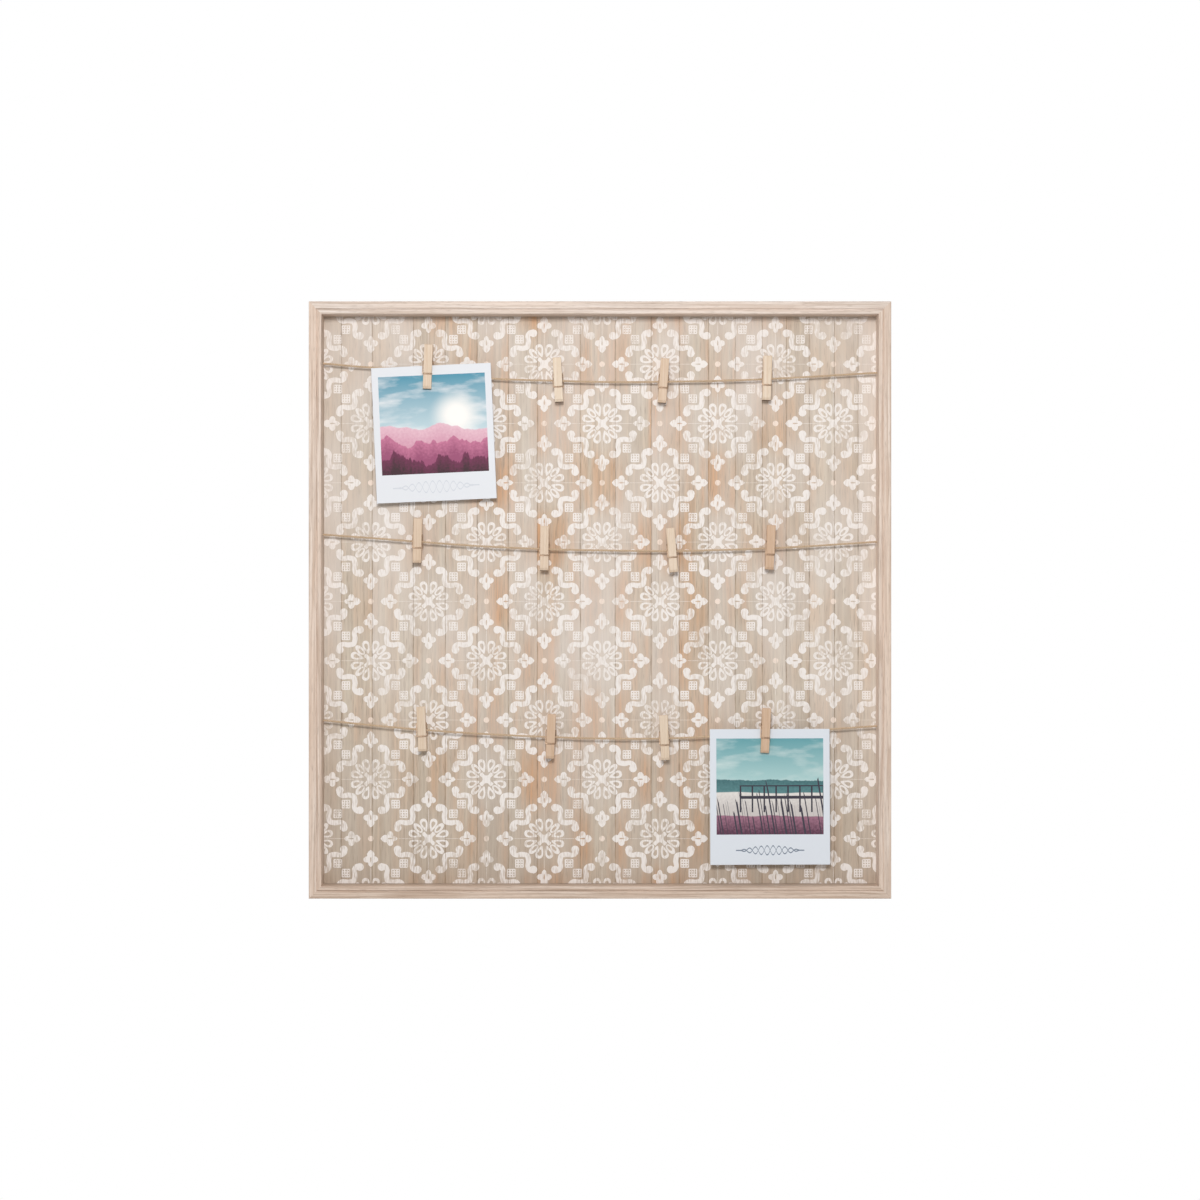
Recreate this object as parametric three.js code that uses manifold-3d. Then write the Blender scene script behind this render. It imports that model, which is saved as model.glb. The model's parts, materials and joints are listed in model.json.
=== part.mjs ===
// Rope photo display: a shallow mitred frame round a stave-patterned panel, with three lengths of
// twine strung across it and spring pegs on the twine that hold photo prints.
// Millimetres. +Z is up, the front looks along -Y, and the wall is the plane Y = 0.
// The origin is the middle of the top rail's rear face, where the display bears on the wall.

import * as THREE from 'three';
import { mergeVertices } from 'three/addons/utils/BufferGeometryUtils.js';
import Module from 'manifold-3d';

// Clearances
const FIT = 0.3; // between two pieces that seat on each other
const HANG_GAP = 0.8; // over a cord, under the rim of the line hole that hangs from it
const LINE_HOLE_SPARE = 0.4; // round a cord that lies wholly in one half's line hole
const PANEL_SPARE = 0.5; // between the panel's edge and its rabbet, all round
const PEG_TO_PANEL = 2.3; // between a peg's spring and the panel behind it

// Photo prints
const PRINT_WIDTH = 121;
const PRINT_HEIGHT = 137;
const PRINT_THICKNESS = 0.4;
const PRINT_BELOW_COIL = 0.7; // from a print's top edge to the spring's coil above it

// Rows of cords: each row leaves the height of a print and this much more below it
const TOP_ROW_DROP = 57.4; // from the origin to the top cord's left end
const TOP_ROW_SPARE = 36.1;
const MIDDLE_ROW_SPARE = 50.7;
const BOTTOM_ROW_SPARE = 41.3;

// Frame rails, from the outer edge inwards
const FRAME_WIDTH = 585;
const OUTER_BAND = 7.5;
const QUIRK_WIDTH = 0.8;
const INNER_BAND = 4.2;
const QUIRK_DEPTH = 1.3;
const INNER_BAND_STEP = 0.5; // how far the inner band lies behind the outer one
const RABBET_WIDTH = 5.5;
const RECESS_DEPTH = 20; // from the frame's face to the shoulder that the panel seats on
const MITRE_GAP = 0.3;

// Back panel, one board grooved into upright staves
const PANEL_THICKNESS = 3;
const GROOVE_WIDTH = 1.0;
const GROOVE_DEPTH = 0.5;
const STAVE_SEAMS = [
  -262.6, -231.1, -189.5, -157, -124.6, -93, -63.6, -20, 15.5, 52, 80.5, 110, 137.3, 164.7, 189, 212.4,
  237.8, 262,
]; // from the panel's middle

// Framer's points, driven into the rabbet behind the panel
const POINT_WIDTH = 9;
const POINT_THICKNESS = 0.6;
const POINT_IN_WOOD = 4.5;
const POINT_OVER_PANEL = 6;
const POINT_NOSE = 2;
const POINT_FROM_MIDDLE = 170; // along each rail

// Hanger plates and their screws, let into the top rail's rear face
const HANGER_LENGTH = 44;
const HANGER_HEIGHT = 9;
const HANGER_THICKNESS = 1;
const HANGER_BELOW_EDGE = 1.2; // from the rail's outer edge
const HANGER_FROM_MIDDLE = 140;
const HANGER_TOOTH_DEPTH = 1.3;
const HANGER_TEETH = 9;
const HANGER_BARE_END = 8; // of each end, without teeth
const SCREW_FROM_END = 4;
const SCREW_HEAD_DIAMETER = 4;
const SCREW_HEAD_HEIGHT = 0.7;
const SCREW_BELOW_WALL = 0.1; // of the head's top, so that the rail bears on the wall
const SCREW_DIAMETER = 2;
const SCREW_LENGTH = 11;

// Cords
const CORD_DIAMETER = 2.2;
const CORD_IN_RAIL = 4.7;
const CORD_SIDES = 8;
const CORD_STEPS = 40;

// Pegs, from the handle end down
const PEG_WIDTH = 8.5;
const HANDLE_LENGTH = 18; // from the handle end to the coil's axis
const NOTCH_LAND = 0.8; // of wood between the coil's notch and the line hole
const GROOVE_BELOW_LINE = 5.8; // from the line hole's middle to the groove for the wire
const JAW_LENGTH = 15.2; // from that groove to the jaw's tip
const HALF_WALL = 1.8; // of wood behind the line hole
const HANDLE_TAPER = THREE.MathUtils.degToRad(7.5);
const HANDLE_BEVEL = 0.5;
const JAW_BEVEL = 1.3;
const MOUTH_FLARE = 0.7;
const MOUTH_LENGTH = 2.4;

// Torsion springs
const WIRE_DIAMETER = 0.9;
const COIL_RADIUS = 1.85; // to the middle of the wire
const CURLS = 4;
const STEPS_PER_CURL = 8;
const WIRE_SIDES = 5;
const WIRE_BEND = 1.1;
const WIRE_STUB = 0.7; // of wire past the wood, where it has crossed a half

// Sizes that follow
const RAIL_WIDTH = OUTER_BAND + QUIRK_WIDTH + INNER_BAND;
const REAR_FACE = RAIL_WIDTH - RABBET_WIDTH;
const HOUSING_DEPTH = SCREW_BELOW_WALL + SCREW_HEAD_HEIGHT + FIT + HANGER_THICKNESS + FIT;
const PANEL_REAR = -(HOUSING_DEPTH + FIT);
const PANEL_FACE = PANEL_REAR - PANEL_THICKNESS;
const RABBET_DEPTH = FIT - PANEL_FACE;
const FRAME_DEPTH = RABBET_DEPTH + RECESS_DEPTH;
const FRAME_TOP = REAR_FACE / 2;
const TOP_ROW = -TOP_ROW_DROP;
const MIDDLE_ROW = TOP_ROW - PRINT_HEIGHT - TOP_ROW_SPARE;
const BOTTOM_ROW = MIDDLE_ROW - PRINT_HEIGHT - MIDDLE_ROW_SPARE;
const FRAME_BOTTOM = BOTTOM_ROW - PRINT_HEIGHT - BOTTOM_ROW_SPARE;
const FRAME_HEIGHT = FRAME_TOP - FRAME_BOTTOM;
const FRAME_MIDDLE = (FRAME_TOP + FRAME_BOTTOM) / 2;
const INNER_WALL = FRAME_WIDTH / 2 - RAIL_WIDTH;

const WIRE_RADIUS = WIRE_DIAMETER / 2;
const LINE_HOLE_RADIUS = CORD_DIAMETER + LINE_HOLE_SPARE;
const HALF_THICKNESS = LINE_HOLE_RADIUS + HALF_WALL;
const NOTCH_RADIUS = COIL_RADIUS + WIRE_RADIUS + FIT;
const COIL_ABOVE_LINE = LINE_HOLE_RADIUS + NOTCH_LAND + NOTCH_RADIUS;
const HANDLE_END = COIL_ABOVE_LINE + HANDLE_LENGTH;
const JAW_TIP = -(GROOVE_BELOW_LINE + JAW_LENGTH);
const PEG_HANG = LINE_HOLE_RADIUS - CORD_DIAMETER / 2 - HANG_GAP;
const CORD_PLANE = PANEL_FACE - PEG_TO_PANEL - WIRE_RADIUS - HALF_THICKNESS - FIT / 2;
const PRINT_BEFORE_CORD = CORD_DIAMETER / 2 + FIT + PRINT_THICKNESS / 2;
const PRINT_ABOVE_LINE = COIL_ABOVE_LINE - COIL_RADIUS - WIRE_RADIUS - PRINT_BELOW_COIL;

// Each row has the heights of its cord's two ends and of chosen points between them, all from the
// row's own height, and its pegs from left to right. A peg's tilt swings its jaws to the right.
const ROWS = [
  {
    name: 'top',
    height: TOP_ROW,
    ends: [0, -9.4],
    route: [
      [-234.3, -3.8], [-203.9, -4.4], [-173.7, -5.2], [-141.3, -10.6], [-107.9, -15.2], [-75.5, -16.6],
      [-42.4, -17.5], [-9.8, -18.4], [25.6, -18.7], [64, -18.4], [117.6, -17.5], [168.8, -15.7],
      [222.8, -12.8],
    ],
    pegs: [{ x: -173.7, tilt: -2 }, { x: -42.4, tilt: 3 }, { x: 64, tilt: -4.2 }, { x: 168.8, tilt: -1.8 }],
  },
  {
    name: 'middle',
    height: MIDDLE_ROW,
    ends: [0, -7.2],
    route: [
      [-236.3, -3], [-184.4, -7], [-121, -11.5], [-56.2, -14.5], [0.3, -15.8], [72.8, -16.5], [121.6, -15.4],
      [172, -13.7], [224.8, -10.8],
    ],
    pegs: [{ x: -184.4, tilt: -1.5 }, { x: -56.2, tilt: -0.5 }, { x: 72.8, tilt: 4.8 }, { x: 172, tilt: -2.9 }],
  },
  {
    name: 'bottom',
    height: BOTTOM_ROW,
    ends: [0, -5.8],
    route: [
      [-232.3, -4.8], [-180.1, -9.5], [-116, -13.8], [-49.8, -16.9], [0.3, -18.3], [65.1, -18.3],
      [111.5, -16.2], [167.1, -11.6], [233.9, -8.8],
    ],
    pegs: [{ x: -180.1, tilt: 2.6 }, { x: -49.8, tilt: -2.6 }, { x: 65.1, tilt: 2.6 }, { x: 167.1, tilt: -2.9 }],
  },
];

// Each print hangs in one peg, a little off its middle and turned a little, anticlockwise from the front
const PRINTS = [
  { name: 'photo_print_top', peg: 'peg_top_1', aside: 2.8, turn: 2.6 },
  { name: 'photo_print_bottom', peg: 'peg_bottom_4', aside: 4.3, turn: 0.2 },
];

const FRAME_WOOD = new THREE.MeshStandardMaterial({ color: 0xdcc8b8, roughness: 0.7 });
const PANEL_WOOD = new THREE.MeshStandardMaterial({ color: 0xd0bfb0, roughness: 0.8 });
const PEG_WOOD = new THREE.MeshStandardMaterial({ color: 0xe3c9ac, roughness: 0.65 });
const TWINE = new THREE.MeshStandardMaterial({ color: 0xa08868, roughness: 0.95 });
const CARD = new THREE.MeshStandardMaterial({ color: 0xe6e7ee, roughness: 0.5 });
const SPRING_STEEL = new THREE.MeshStandardMaterial({ color: 0xa9a49c, roughness: 0.35, metalness: 1 });
const ZINC_STEEL = new THREE.MeshStandardMaterial({ color: 0xb9b8b4, roughness: 0.4, metalness: 1 });

const wasm = await Module();
wasm.setup();

const display = new THREE.Group();

// Adds one named piece to a group
function addPiece(group, name, geometry, material) {
  const mesh = new THREE.Mesh(geometry, material);
  mesh.name = name;
  group.add(mesh);
  return mesh;
}

// A closed geometry as a solid for cutting
function solidOf(geometry) {
  const bare = geometry.clone();
  bare.deleteAttribute('normal');
  bare.deleteAttribute('uv');
  const merged = mergeVertices(bare);
  const vertProperties = new Float32Array(merged.attributes.position.array);
  const triVerts = new Uint32Array(merged.index.array);
  return new wasm.Manifold(new wasm.Mesh({ numProp: 3, vertProperties, triVerts }));
}

function cutFrom(geometry, cutters) {
  let solid = solidOf(geometry);
  for (const cutter of cutters) {
    solid = solid.subtract(solidOf(cutter));
  }
  const mesh = solid.getMesh();
  const result = new THREE.BufferGeometry();
  result.setAttribute('position', new THREE.BufferAttribute(mesh.vertProperties, 3));
  result.setIndex(new THREE.BufferAttribute(mesh.triVerts, 1));
  result.computeVertexNormals();
  return result;
}

// A flat outline drawn on X and Z and given a thickness from y = 0 towards the front
function plate(shape, thickness) {
  const geometry = new THREE.ExtrudeGeometry(shape, { depth: thickness, bevelEnabled: false, curveSegments: 6 });
  return geometry.rotateX(Math.PI / 2);
}

// Frame rails: the section's first coordinate is the distance from the rail's outer edge
function railSection() {
  const face = -FRAME_DEPTH;
  const innerFace = face + INNER_BAND_STEP;
  const quirkFloor = face + QUIRK_DEPTH;
  const quirkEnd = OUTER_BAND + QUIRK_WIDTH;
  return new THREE.Shape(
    [
      [0, 0], [0, face], [OUTER_BAND, face], [OUTER_BAND, quirkFloor], [quirkEnd, quirkFloor],
      [quirkEnd, innerFace], [RAIL_WIDTH, innerFace], [RAIL_WIDTH, -RABBET_DEPTH], [REAR_FACE, -RABBET_DEPTH],
      [REAR_FACE, 0],
    ].map(([across, depth]) => new THREE.Vector2(across, depth)),
  );
}

// A rail lies along X with its outer edge at z = 0, and each mitre shortens it by the distance across
function mitredRail(length) {
  const geometry = new THREE.ExtrudeGeometry(railSection(), { depth: 1, bevelEnabled: false });
  const position = geometry.attributes.position;
  for (let i = 0; i < position.count; i += 1) {
    const across = position.getX(i);
    const half = length / 2 - across - MITRE_GAP * Math.SQRT1_2;
    const end = position.getZ(i) > 0.5 ? half : -half;
    position.setXYZ(i, end, position.getY(i), -across);
  }
  return geometry;
}

// The four sides of the frame: where each outer edge lies, and the turn that brings a rail there
const SIDES = [
  { name: 'top_rail', length: FRAME_WIDTH, x: 0, z: FRAME_TOP, turn: 0 },
  { name: 'right_rail', length: FRAME_HEIGHT, x: FRAME_WIDTH / 2, z: FRAME_MIDDLE, turn: Math.PI / 2 },
  { name: 'bottom_rail', length: FRAME_WIDTH, x: 0, z: FRAME_BOTTOM, turn: Math.PI },
  { name: 'left_rail', length: FRAME_HEIGHT, x: -FRAME_WIDTH / 2, z: FRAME_MIDDLE, turn: -Math.PI / 2 },
];

function placeOnSide(geometry, side) {
  return geometry.rotateY(side.turn).translate(side.x, 0, side.z);
}

// Framer's points lie on the panel's rear, with their noses in slots in the rabbet's wall
const POINT_REAR = PANEL_REAR + FIT + POINT_THICKNESS;

function framerPoint() {
  const half = POINT_WIDTH / 2;
  const wall = -REAR_FACE;
  const outline = [
    [-half, wall - POINT_OVER_PANEL], [half, wall - POINT_OVER_PANEL], [half, wall + POINT_IN_WOOD - POINT_NOSE],
    [0, wall + POINT_IN_WOOD], [-half, wall + POINT_IN_WOOD - POINT_NOSE],
  ];
  const shape = new THREE.Shape(outline.map(([x, z]) => new THREE.Vector2(x, z)));
  return plate(shape, POINT_THICKNESS).translate(0, POINT_REAR, 0);
}

function pointSlot() {
  const depth = POINT_IN_WOOD + FIT;
  const slot = new THREE.BoxGeometry(POINT_WIDTH + 2 * FIT, POINT_THICKNESS + 2 * FIT, 2 * depth);
  return slot.translate(0, POINT_REAR - POINT_THICKNESS / 2, -REAR_FACE);
}

// Hangers: the plate's lower edge is toothed and stands over the rabbet, where a nail's head has room
const HANGER_REAR = -(SCREW_BELOW_WALL + SCREW_HEAD_HEIGHT + FIT);
const HANGER_TOP = FRAME_TOP - HANGER_BELOW_EDGE;
const SCREW_ASIDE = HANGER_LENGTH / 2 - SCREW_FROM_END;

function hangerPlate() {
  const half = HANGER_LENGTH / 2;
  const bottom = HANGER_TOP - HANGER_HEIGHT;
  const toothed = HANGER_LENGTH - 2 * HANGER_BARE_END;
  const pitch = toothed / HANGER_TEETH;
  const shape = new THREE.Shape();
  shape.moveTo(half, HANGER_TOP);
  shape.lineTo(-half, HANGER_TOP);
  shape.lineTo(-half, bottom);
  for (let tooth = 0; tooth < HANGER_TEETH; tooth += 1) {
    const start = -toothed / 2 + tooth * pitch;
    shape.lineTo(start, bottom);
    shape.lineTo(start + pitch / 2, bottom + HANGER_TOOTH_DEPTH);
  }
  shape.lineTo(toothed / 2, bottom);
  shape.lineTo(half, bottom);
  for (const side of [-1, 1]) {
    const hole = new THREE.Path();
    hole.absarc(side * SCREW_ASIDE, 0, SCREW_DIAMETER / 2 + FIT, 0, 2 * Math.PI, true);
    shape.holes.push(hole);
  }
  return plate(shape, HANGER_THICKNESS).translate(0, HANGER_REAR, 0);
}

function hangerHousing() {
  const length = HANGER_LENGTH + 2 * FIT;
  const height = HANGER_HEIGHT + 2 * FIT;
  const housing = new THREE.BoxGeometry(length, 2 * HOUSING_DEPTH, height);
  return housing.translate(0, 0, HANGER_TOP - HANGER_HEIGHT / 2);
}

// A screw points along -Y, its profile running from the tip to the top of the head
function hangerScrew() {
  const shank = SCREW_DIAMETER / 2;
  const head = SCREW_HEAD_DIAMETER / 2;
  const top = -SCREW_BELOW_WALL;
  const neck = top - SCREW_HEAD_HEIGHT;
  const tip = neck - SCREW_LENGTH;
  const profile = [[0, tip], [shank, tip + SCREW_DIAMETER], [shank, neck], [head, neck], [0.7 * head, top], [0, top]];
  return new THREE.LatheGeometry(profile.map(([radius, y]) => new THREE.Vector2(radius, y)), 12);
}

function pilotHole() {
  const length = SCREW_LENGTH + FIT;
  const pilot = new THREE.CylinderGeometry(SCREW_DIAMETER / 2 + FIT, SCREW_DIAMETER / 2 + FIT, length, 12);
  return pilot.translate(0, -SCREW_BELOW_WALL - SCREW_HEAD_HEIGHT - length / 2, 0);
}

const screwPlaces = [];
for (const side of [-1, 1]) {
  for (const end of [-1, 1]) {
    screwPlaces.push(side * HANGER_FROM_MIDDLE + end * SCREW_ASIDE);
  }
}

// Cord ends are glued in blind holes in the side rails' inner walls
function cordHole(side, height) {
  const depth = CORD_IN_RAIL + FIT;
  const hole = new THREE.CylinderGeometry(CORD_DIAMETER / 2 + FIT, CORD_DIAMETER / 2 + FIT, 2 * depth, 12);
  return hole.rotateZ(Math.PI / 2).translate(side * INNER_WALL, CORD_PLANE, height);
}

function railCutters(side) {
  const cutters = [-1, 1].map((end) =>
    placeOnSide(pointSlot().translate(end * POINT_FROM_MIDDLE, 0, 0), side),
  );
  if (side.name === 'top_rail') {
    for (const end of [-1, 1]) {
      cutters.push(hangerHousing().translate(end * HANGER_FROM_MIDDLE, 0, 0));
    }
    for (const x of screwPlaces) {
      cutters.push(pilotHole().translate(x, 0, 0));
    }
  }
  if (side.name === 'left_rail') {
    ROWS.forEach((row) => cutters.push(cordHole(-1, row.height + row.ends[0])));
  }
  if (side.name === 'right_rail') {
    ROWS.forEach((row) => cutters.push(cordHole(1, row.height + row.ends[1])));
  }
  return cutters;
}

let pointNumber = 0;
for (const side of SIDES) {
  const rail = placeOnSide(mitredRail(side.length), side);
  addPiece(display, side.name, cutFrom(rail, railCutters(side)), FRAME_WOOD);
  for (const end of [-1, 1]) {
    pointNumber += 1;
    const point = placeOnSide(framerPoint().translate(end * POINT_FROM_MIDDLE, 0, 0), side);
    addPiece(display, `panel_point_${pointNumber}`, point, ZINC_STEEL);
  }
}

addPiece(display, 'hanger_left', hangerPlate().translate(-HANGER_FROM_MIDDLE, 0, 0), ZINC_STEEL);
addPiece(display, 'hanger_right', hangerPlate().translate(HANGER_FROM_MIDDLE, 0, 0), ZINC_STEEL);
screwPlaces.forEach((x, index) => {
  addPiece(display, `hanger_screw_${index + 1}`, hangerScrew().translate(x, 0, 0), ZINC_STEEL);
});

// Back panel: its plan outline, grooved on the front, is drawn on X and Y and raised along Z
function backPanel() {
  const half = FRAME_WIDTH / 2 - REAR_FACE - PANEL_SPARE;
  const height = FRAME_HEIGHT - 2 * (REAR_FACE + PANEL_SPARE);
  const shape = new THREE.Shape();
  shape.moveTo(half, PANEL_REAR);
  shape.lineTo(-half, PANEL_REAR);
  shape.lineTo(-half, PANEL_FACE);
  for (const seam of STAVE_SEAMS.filter((x) => Math.abs(x) < half - GROOVE_WIDTH)) {
    shape.lineTo(seam - GROOVE_WIDTH / 2, PANEL_FACE);
    shape.lineTo(seam, PANEL_FACE + GROOVE_DEPTH);
    shape.lineTo(seam + GROOVE_WIDTH / 2, PANEL_FACE);
  }
  shape.lineTo(half, PANEL_FACE);
  const geometry = new THREE.ExtrudeGeometry(shape, { depth: height, bevelEnabled: false });
  return geometry.translate(0, 0, FRAME_MIDDLE - height / 2);
}

addPiece(display, 'back_panel', backPanel(), PANEL_WOOD);

// Cords run straight out of their holes and then through the chosen points
function cordCurve(row) {
  const end = INNER_WALL + CORD_IN_RAIL;
  const between = row.route.filter(([x]) => Math.abs(x) < INNER_WALL - CORD_IN_RAIL);
  const points = [
    [-end, row.ends[0]], [-INNER_WALL, row.ends[0]], ...between, [INNER_WALL, row.ends[1]], [end, row.ends[1]],
  ];
  return new THREE.CatmullRomCurve3(
    points.map(([x, z]) => new THREE.Vector3(x, CORD_PLANE, row.height + z)),
  );
}

function cordTube(curve) {
  const section = new THREE.Shape();
  for (let side = 0; side < CORD_SIDES; side += 1) {
    const angle = (side / CORD_SIDES) * 2 * Math.PI;
    const x = (CORD_DIAMETER / 2) * Math.cos(angle);
    const y = (CORD_DIAMETER / 2) * Math.sin(angle);
    if (side === 0) {
      section.moveTo(x, y);
    } else {
      section.lineTo(x, y);
    }
  }
  return new THREE.ExtrudeGeometry(section, { steps: CORD_STEPS, extrudePath: curve, bevelEnabled: false });
}

// The cord's point at a distance across the frame, found by halving: a cord never turns back
function cordPointAt(curve, x) {
  let low = 0;
  let high = 1;
  for (let i = 0; i < 40; i += 1) {
    const middle = (low + high) / 2;
    if (curve.getPoint(middle).x < x) {
      low = middle;
    } else {
      high = middle;
    }
  }
  return curve.getPoint(low);
}

// One half of a peg. The outline's first coordinate is the distance from the inner face, and its
// second the height over the line hole. The two halves are alike, and face each other.
function pegHalf() {
  const groove = -GROOVE_BELOW_LINE;
  const grooveRadius = WIRE_RADIUS + FIT;
  const quarter = Math.PI / 2;
  const shape = new THREE.Shape();
  shape.moveTo(MOUTH_FLARE, JAW_TIP);
  shape.lineTo(HALF_THICKNESS - JAW_BEVEL, JAW_TIP);
  shape.lineTo(HALF_THICKNESS, JAW_TIP + 2 * JAW_BEVEL);
  shape.absarc(HALF_THICKNESS, groove, grooveRadius, -quarter, quarter, true);
  shape.lineTo(HALF_THICKNESS, HANDLE_END - HANDLE_BEVEL);
  shape.lineTo(HALF_THICKNESS - HANDLE_BEVEL, HANDLE_END);
  shape.lineTo(HANDLE_LENGTH * Math.tan(HANDLE_TAPER), HANDLE_END);
  shape.absarc(0, COIL_ABOVE_LINE, NOTCH_RADIUS, quarter - HANDLE_TAPER, -quarter, true);
  shape.absarc(0, 0, LINE_HOLE_RADIUS, quarter, -quarter, true);
  shape.lineTo(0, JAW_TIP + MOUTH_LENGTH);
  const geometry = new THREE.ExtrudeGeometry(shape, { depth: PEG_WIDTH, bevelEnabled: false, curveSegments: 3 });
  const axes = new THREE.Matrix4().makeBasis(
    new THREE.Vector3(0, 1, 0),
    new THREE.Vector3(0, 0, 1),
    new THREE.Vector3(1, 0, 0),
  );
  return geometry.applyMatrix4(axes).translate(-PEG_WIDTH / 2, 0, 0);
}

// The spring's wire crosses the front half, runs up its left side into the coil, leaves the coil on
// the right and crosses the back half, so it looks the same turned half way round
function springPath(jawGap) {
  const side = PEG_WIDTH / 2 + FIT + WIRE_RADIUS;
  const crossing = HALF_THICKNESS + jawGap / 2;
  const drop = COIL_ABOVE_LINE + GROOVE_BELOW_LINE;
  const reach = Math.hypot(crossing, drop);
  const leave = Math.PI + Math.atan2(drop, crossing) - Math.acos(COIL_RADIUS / reach);
  const enter = Math.PI - leave;
  const sweep = leave - enter + 2 * Math.PI * CURLS;
  const steps = Math.round((sweep / (2 * Math.PI)) * STEPS_PER_CURL);
  const coil = [];
  for (let i = 0; i <= steps; i += 1) {
    const angle = enter + (sweep * i) / steps;
    const x = side * (1 - (2 * i) / steps);
    const z = COIL_ABOVE_LINE + COIL_RADIUS * Math.sin(angle);
    coil.push(new THREE.Vector3(x, COIL_RADIUS * Math.cos(angle), z));
  }
  const corner = new THREE.Vector3(-side, -crossing, -GROOVE_BELOW_LINE);
  const bendStart = corner.clone().lerp(coil[steps], WIRE_BEND / corner.distanceTo(coil[steps]));
  const bendEnd = corner.clone().add(new THREE.Vector3(WIRE_BEND, 0, 0));
  const bend = new THREE.QuadraticBezierCurve3(bendStart, corner, bendEnd).getPoints(3);
  const arm = [...bend, corner.clone().setX(PEG_WIDTH / 2 + WIRE_STUB)];
  const otherArm = arm.map((point) => new THREE.Vector3(-point.x, -point.y, point.z)).reverse();
  return [...otherArm, ...coil, ...arm];
}

// A closed tube of a few sides along a line of points, its rings turned as little as they can be
function wireTube(points) {
  const vertices = [];
  const triangles = [];
  const normal = new THREE.Vector3(0, 1, 0);
  const across = new THREE.Vector3();
  points.forEach((point, i) => {
    const before = points[Math.max(i - 1, 0)];
    const after = points[Math.min(i + 1, points.length - 1)];
    const along = after.clone().sub(before).normalize();
    normal.addScaledVector(along, -normal.dot(along)).normalize();
    across.crossVectors(along, normal);
    for (let side = 0; side < WIRE_SIDES; side += 1) {
      const angle = (side / WIRE_SIDES) * 2 * Math.PI;
      const rim = point.clone();
      rim.addScaledVector(normal, WIRE_RADIUS * Math.cos(angle));
      rim.addScaledVector(across, WIRE_RADIUS * Math.sin(angle));
      vertices.push(rim.x, rim.y, rim.z);
    }
  });
  for (let ring = 0; ring < points.length - 1; ring += 1) {
    for (let side = 0; side < WIRE_SIDES; side += 1) {
      const here = ring * WIRE_SIDES + side;
      const beside = ring * WIRE_SIDES + ((side + 1) % WIRE_SIDES);
      triangles.push(here, beside, here + WIRE_SIDES);
      triangles.push(beside, beside + WIRE_SIDES, here + WIRE_SIDES);
    }
  }
  const last = (points.length - 1) * WIRE_SIDES;
  for (let side = 1; side < WIRE_SIDES - 1; side += 1) {
    triangles.push(0, side + 1, side);
    triangles.push(last, last + side, last + side + 1);
  }
  const geometry = new THREE.BufferGeometry();
  geometry.setAttribute('position', new THREE.Float32BufferAttribute(vertices, 3));
  geometry.setIndex(triangles);
  geometry.computeVertexNormals();
  return geometry;
}

// The least clear distance between two stretches of a spring's wire that aren't neighbours
function leastSpringGap(points) {
  const apart = STEPS_PER_CURL / 2;
  let least = Infinity;
  points.forEach((point, i) => {
    for (let j = i + apart; j < points.length; j += 1) {
      least = Math.min(least, point.distanceTo(points[j]) - WIRE_DIAMETER);
    }
  });
  return least;
}

const pegs = {};

for (const row of ROWS) {
  const curve = cordCurve(row);
  addPiece(display, `cord_${row.name}`, cordTube(curve), TWINE);
  console.log(`cord_${row.name} is ${curve.getLength().toFixed(1)} mm long`);
  row.pegs.forEach((place, index) => {
    const name = `peg_${row.name}_${index + 1}`;
    const holdsPrint = PRINTS.some((print) => print.peg === name);
    const jawGap = holdsPrint ? PRINT_THICKNESS + 2 * FIT : FIT;
    const onCord = cordPointAt(curve, place.x);
    const peg = new THREE.Group();
    peg.name = name;
    peg.position.copy(onCord);
    if (holdsPrint) {
      peg.position.y -= PRINT_BEFORE_CORD;
    } else {
      peg.position.z -= PEG_HANG;
    }
    peg.rotation.y = -THREE.MathUtils.degToRad(place.tilt);
    const backHalf = addPiece(peg, `${name}_back_half`, pegHalf(), PEG_WOOD);
    backHalf.position.y = jawGap / 2;
    const frontHalf = addPiece(peg, `${name}_front_half`, pegHalf(), PEG_WOOD);
    frontHalf.position.y = -jawGap / 2;
    frontHalf.rotation.z = Math.PI;
    const path = springPath(jawGap);
    addPiece(peg, `${name}_spring`, wireTube(path), SPRING_STEEL);
    if (index === 0) {
      console.log(`${name}_spring clears itself by ${leastSpringGap(path).toFixed(2)} mm`);
    }
    pegs[name] = peg;
    display.add(peg);
  });
}

// Prints hang from the middle of their top edge
for (const print of PRINTS) {
  const card = new THREE.BoxGeometry(PRINT_WIDTH, PRINT_THICKNESS, PRINT_HEIGHT);
  const mesh = addPiece(display, print.name, card.translate(0, 0, -PRINT_HEIGHT / 2), CARD);
  mesh.position.copy(pegs[print.peg].position);
  mesh.position.x += print.aside;
  mesh.position.z += PRINT_ABOVE_LINE;
  mesh.rotation.y = -THREE.MathUtils.degToRad(print.turn);
}

export default display;
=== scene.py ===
# %% [markdown]
# # A rope photo display
# A shallow wooden frame holds a panel of upright staves, stencilled with white medallions. Three
# lengths of jute twine hang across it, and twelve spring pegs on the twine hold photo prints.
# A CAD model gives every part its place and size. This script keeps each part where the model has
# it, and gives it the edges, fibres, grain and finish that the real one shows.

# %% Load the CAD model
import bisect
import json
import math
import random

import bmesh
import bpy
from mathutils import Matrix, Vector
from mathutils.geometry import tessellate_polygon

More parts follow.
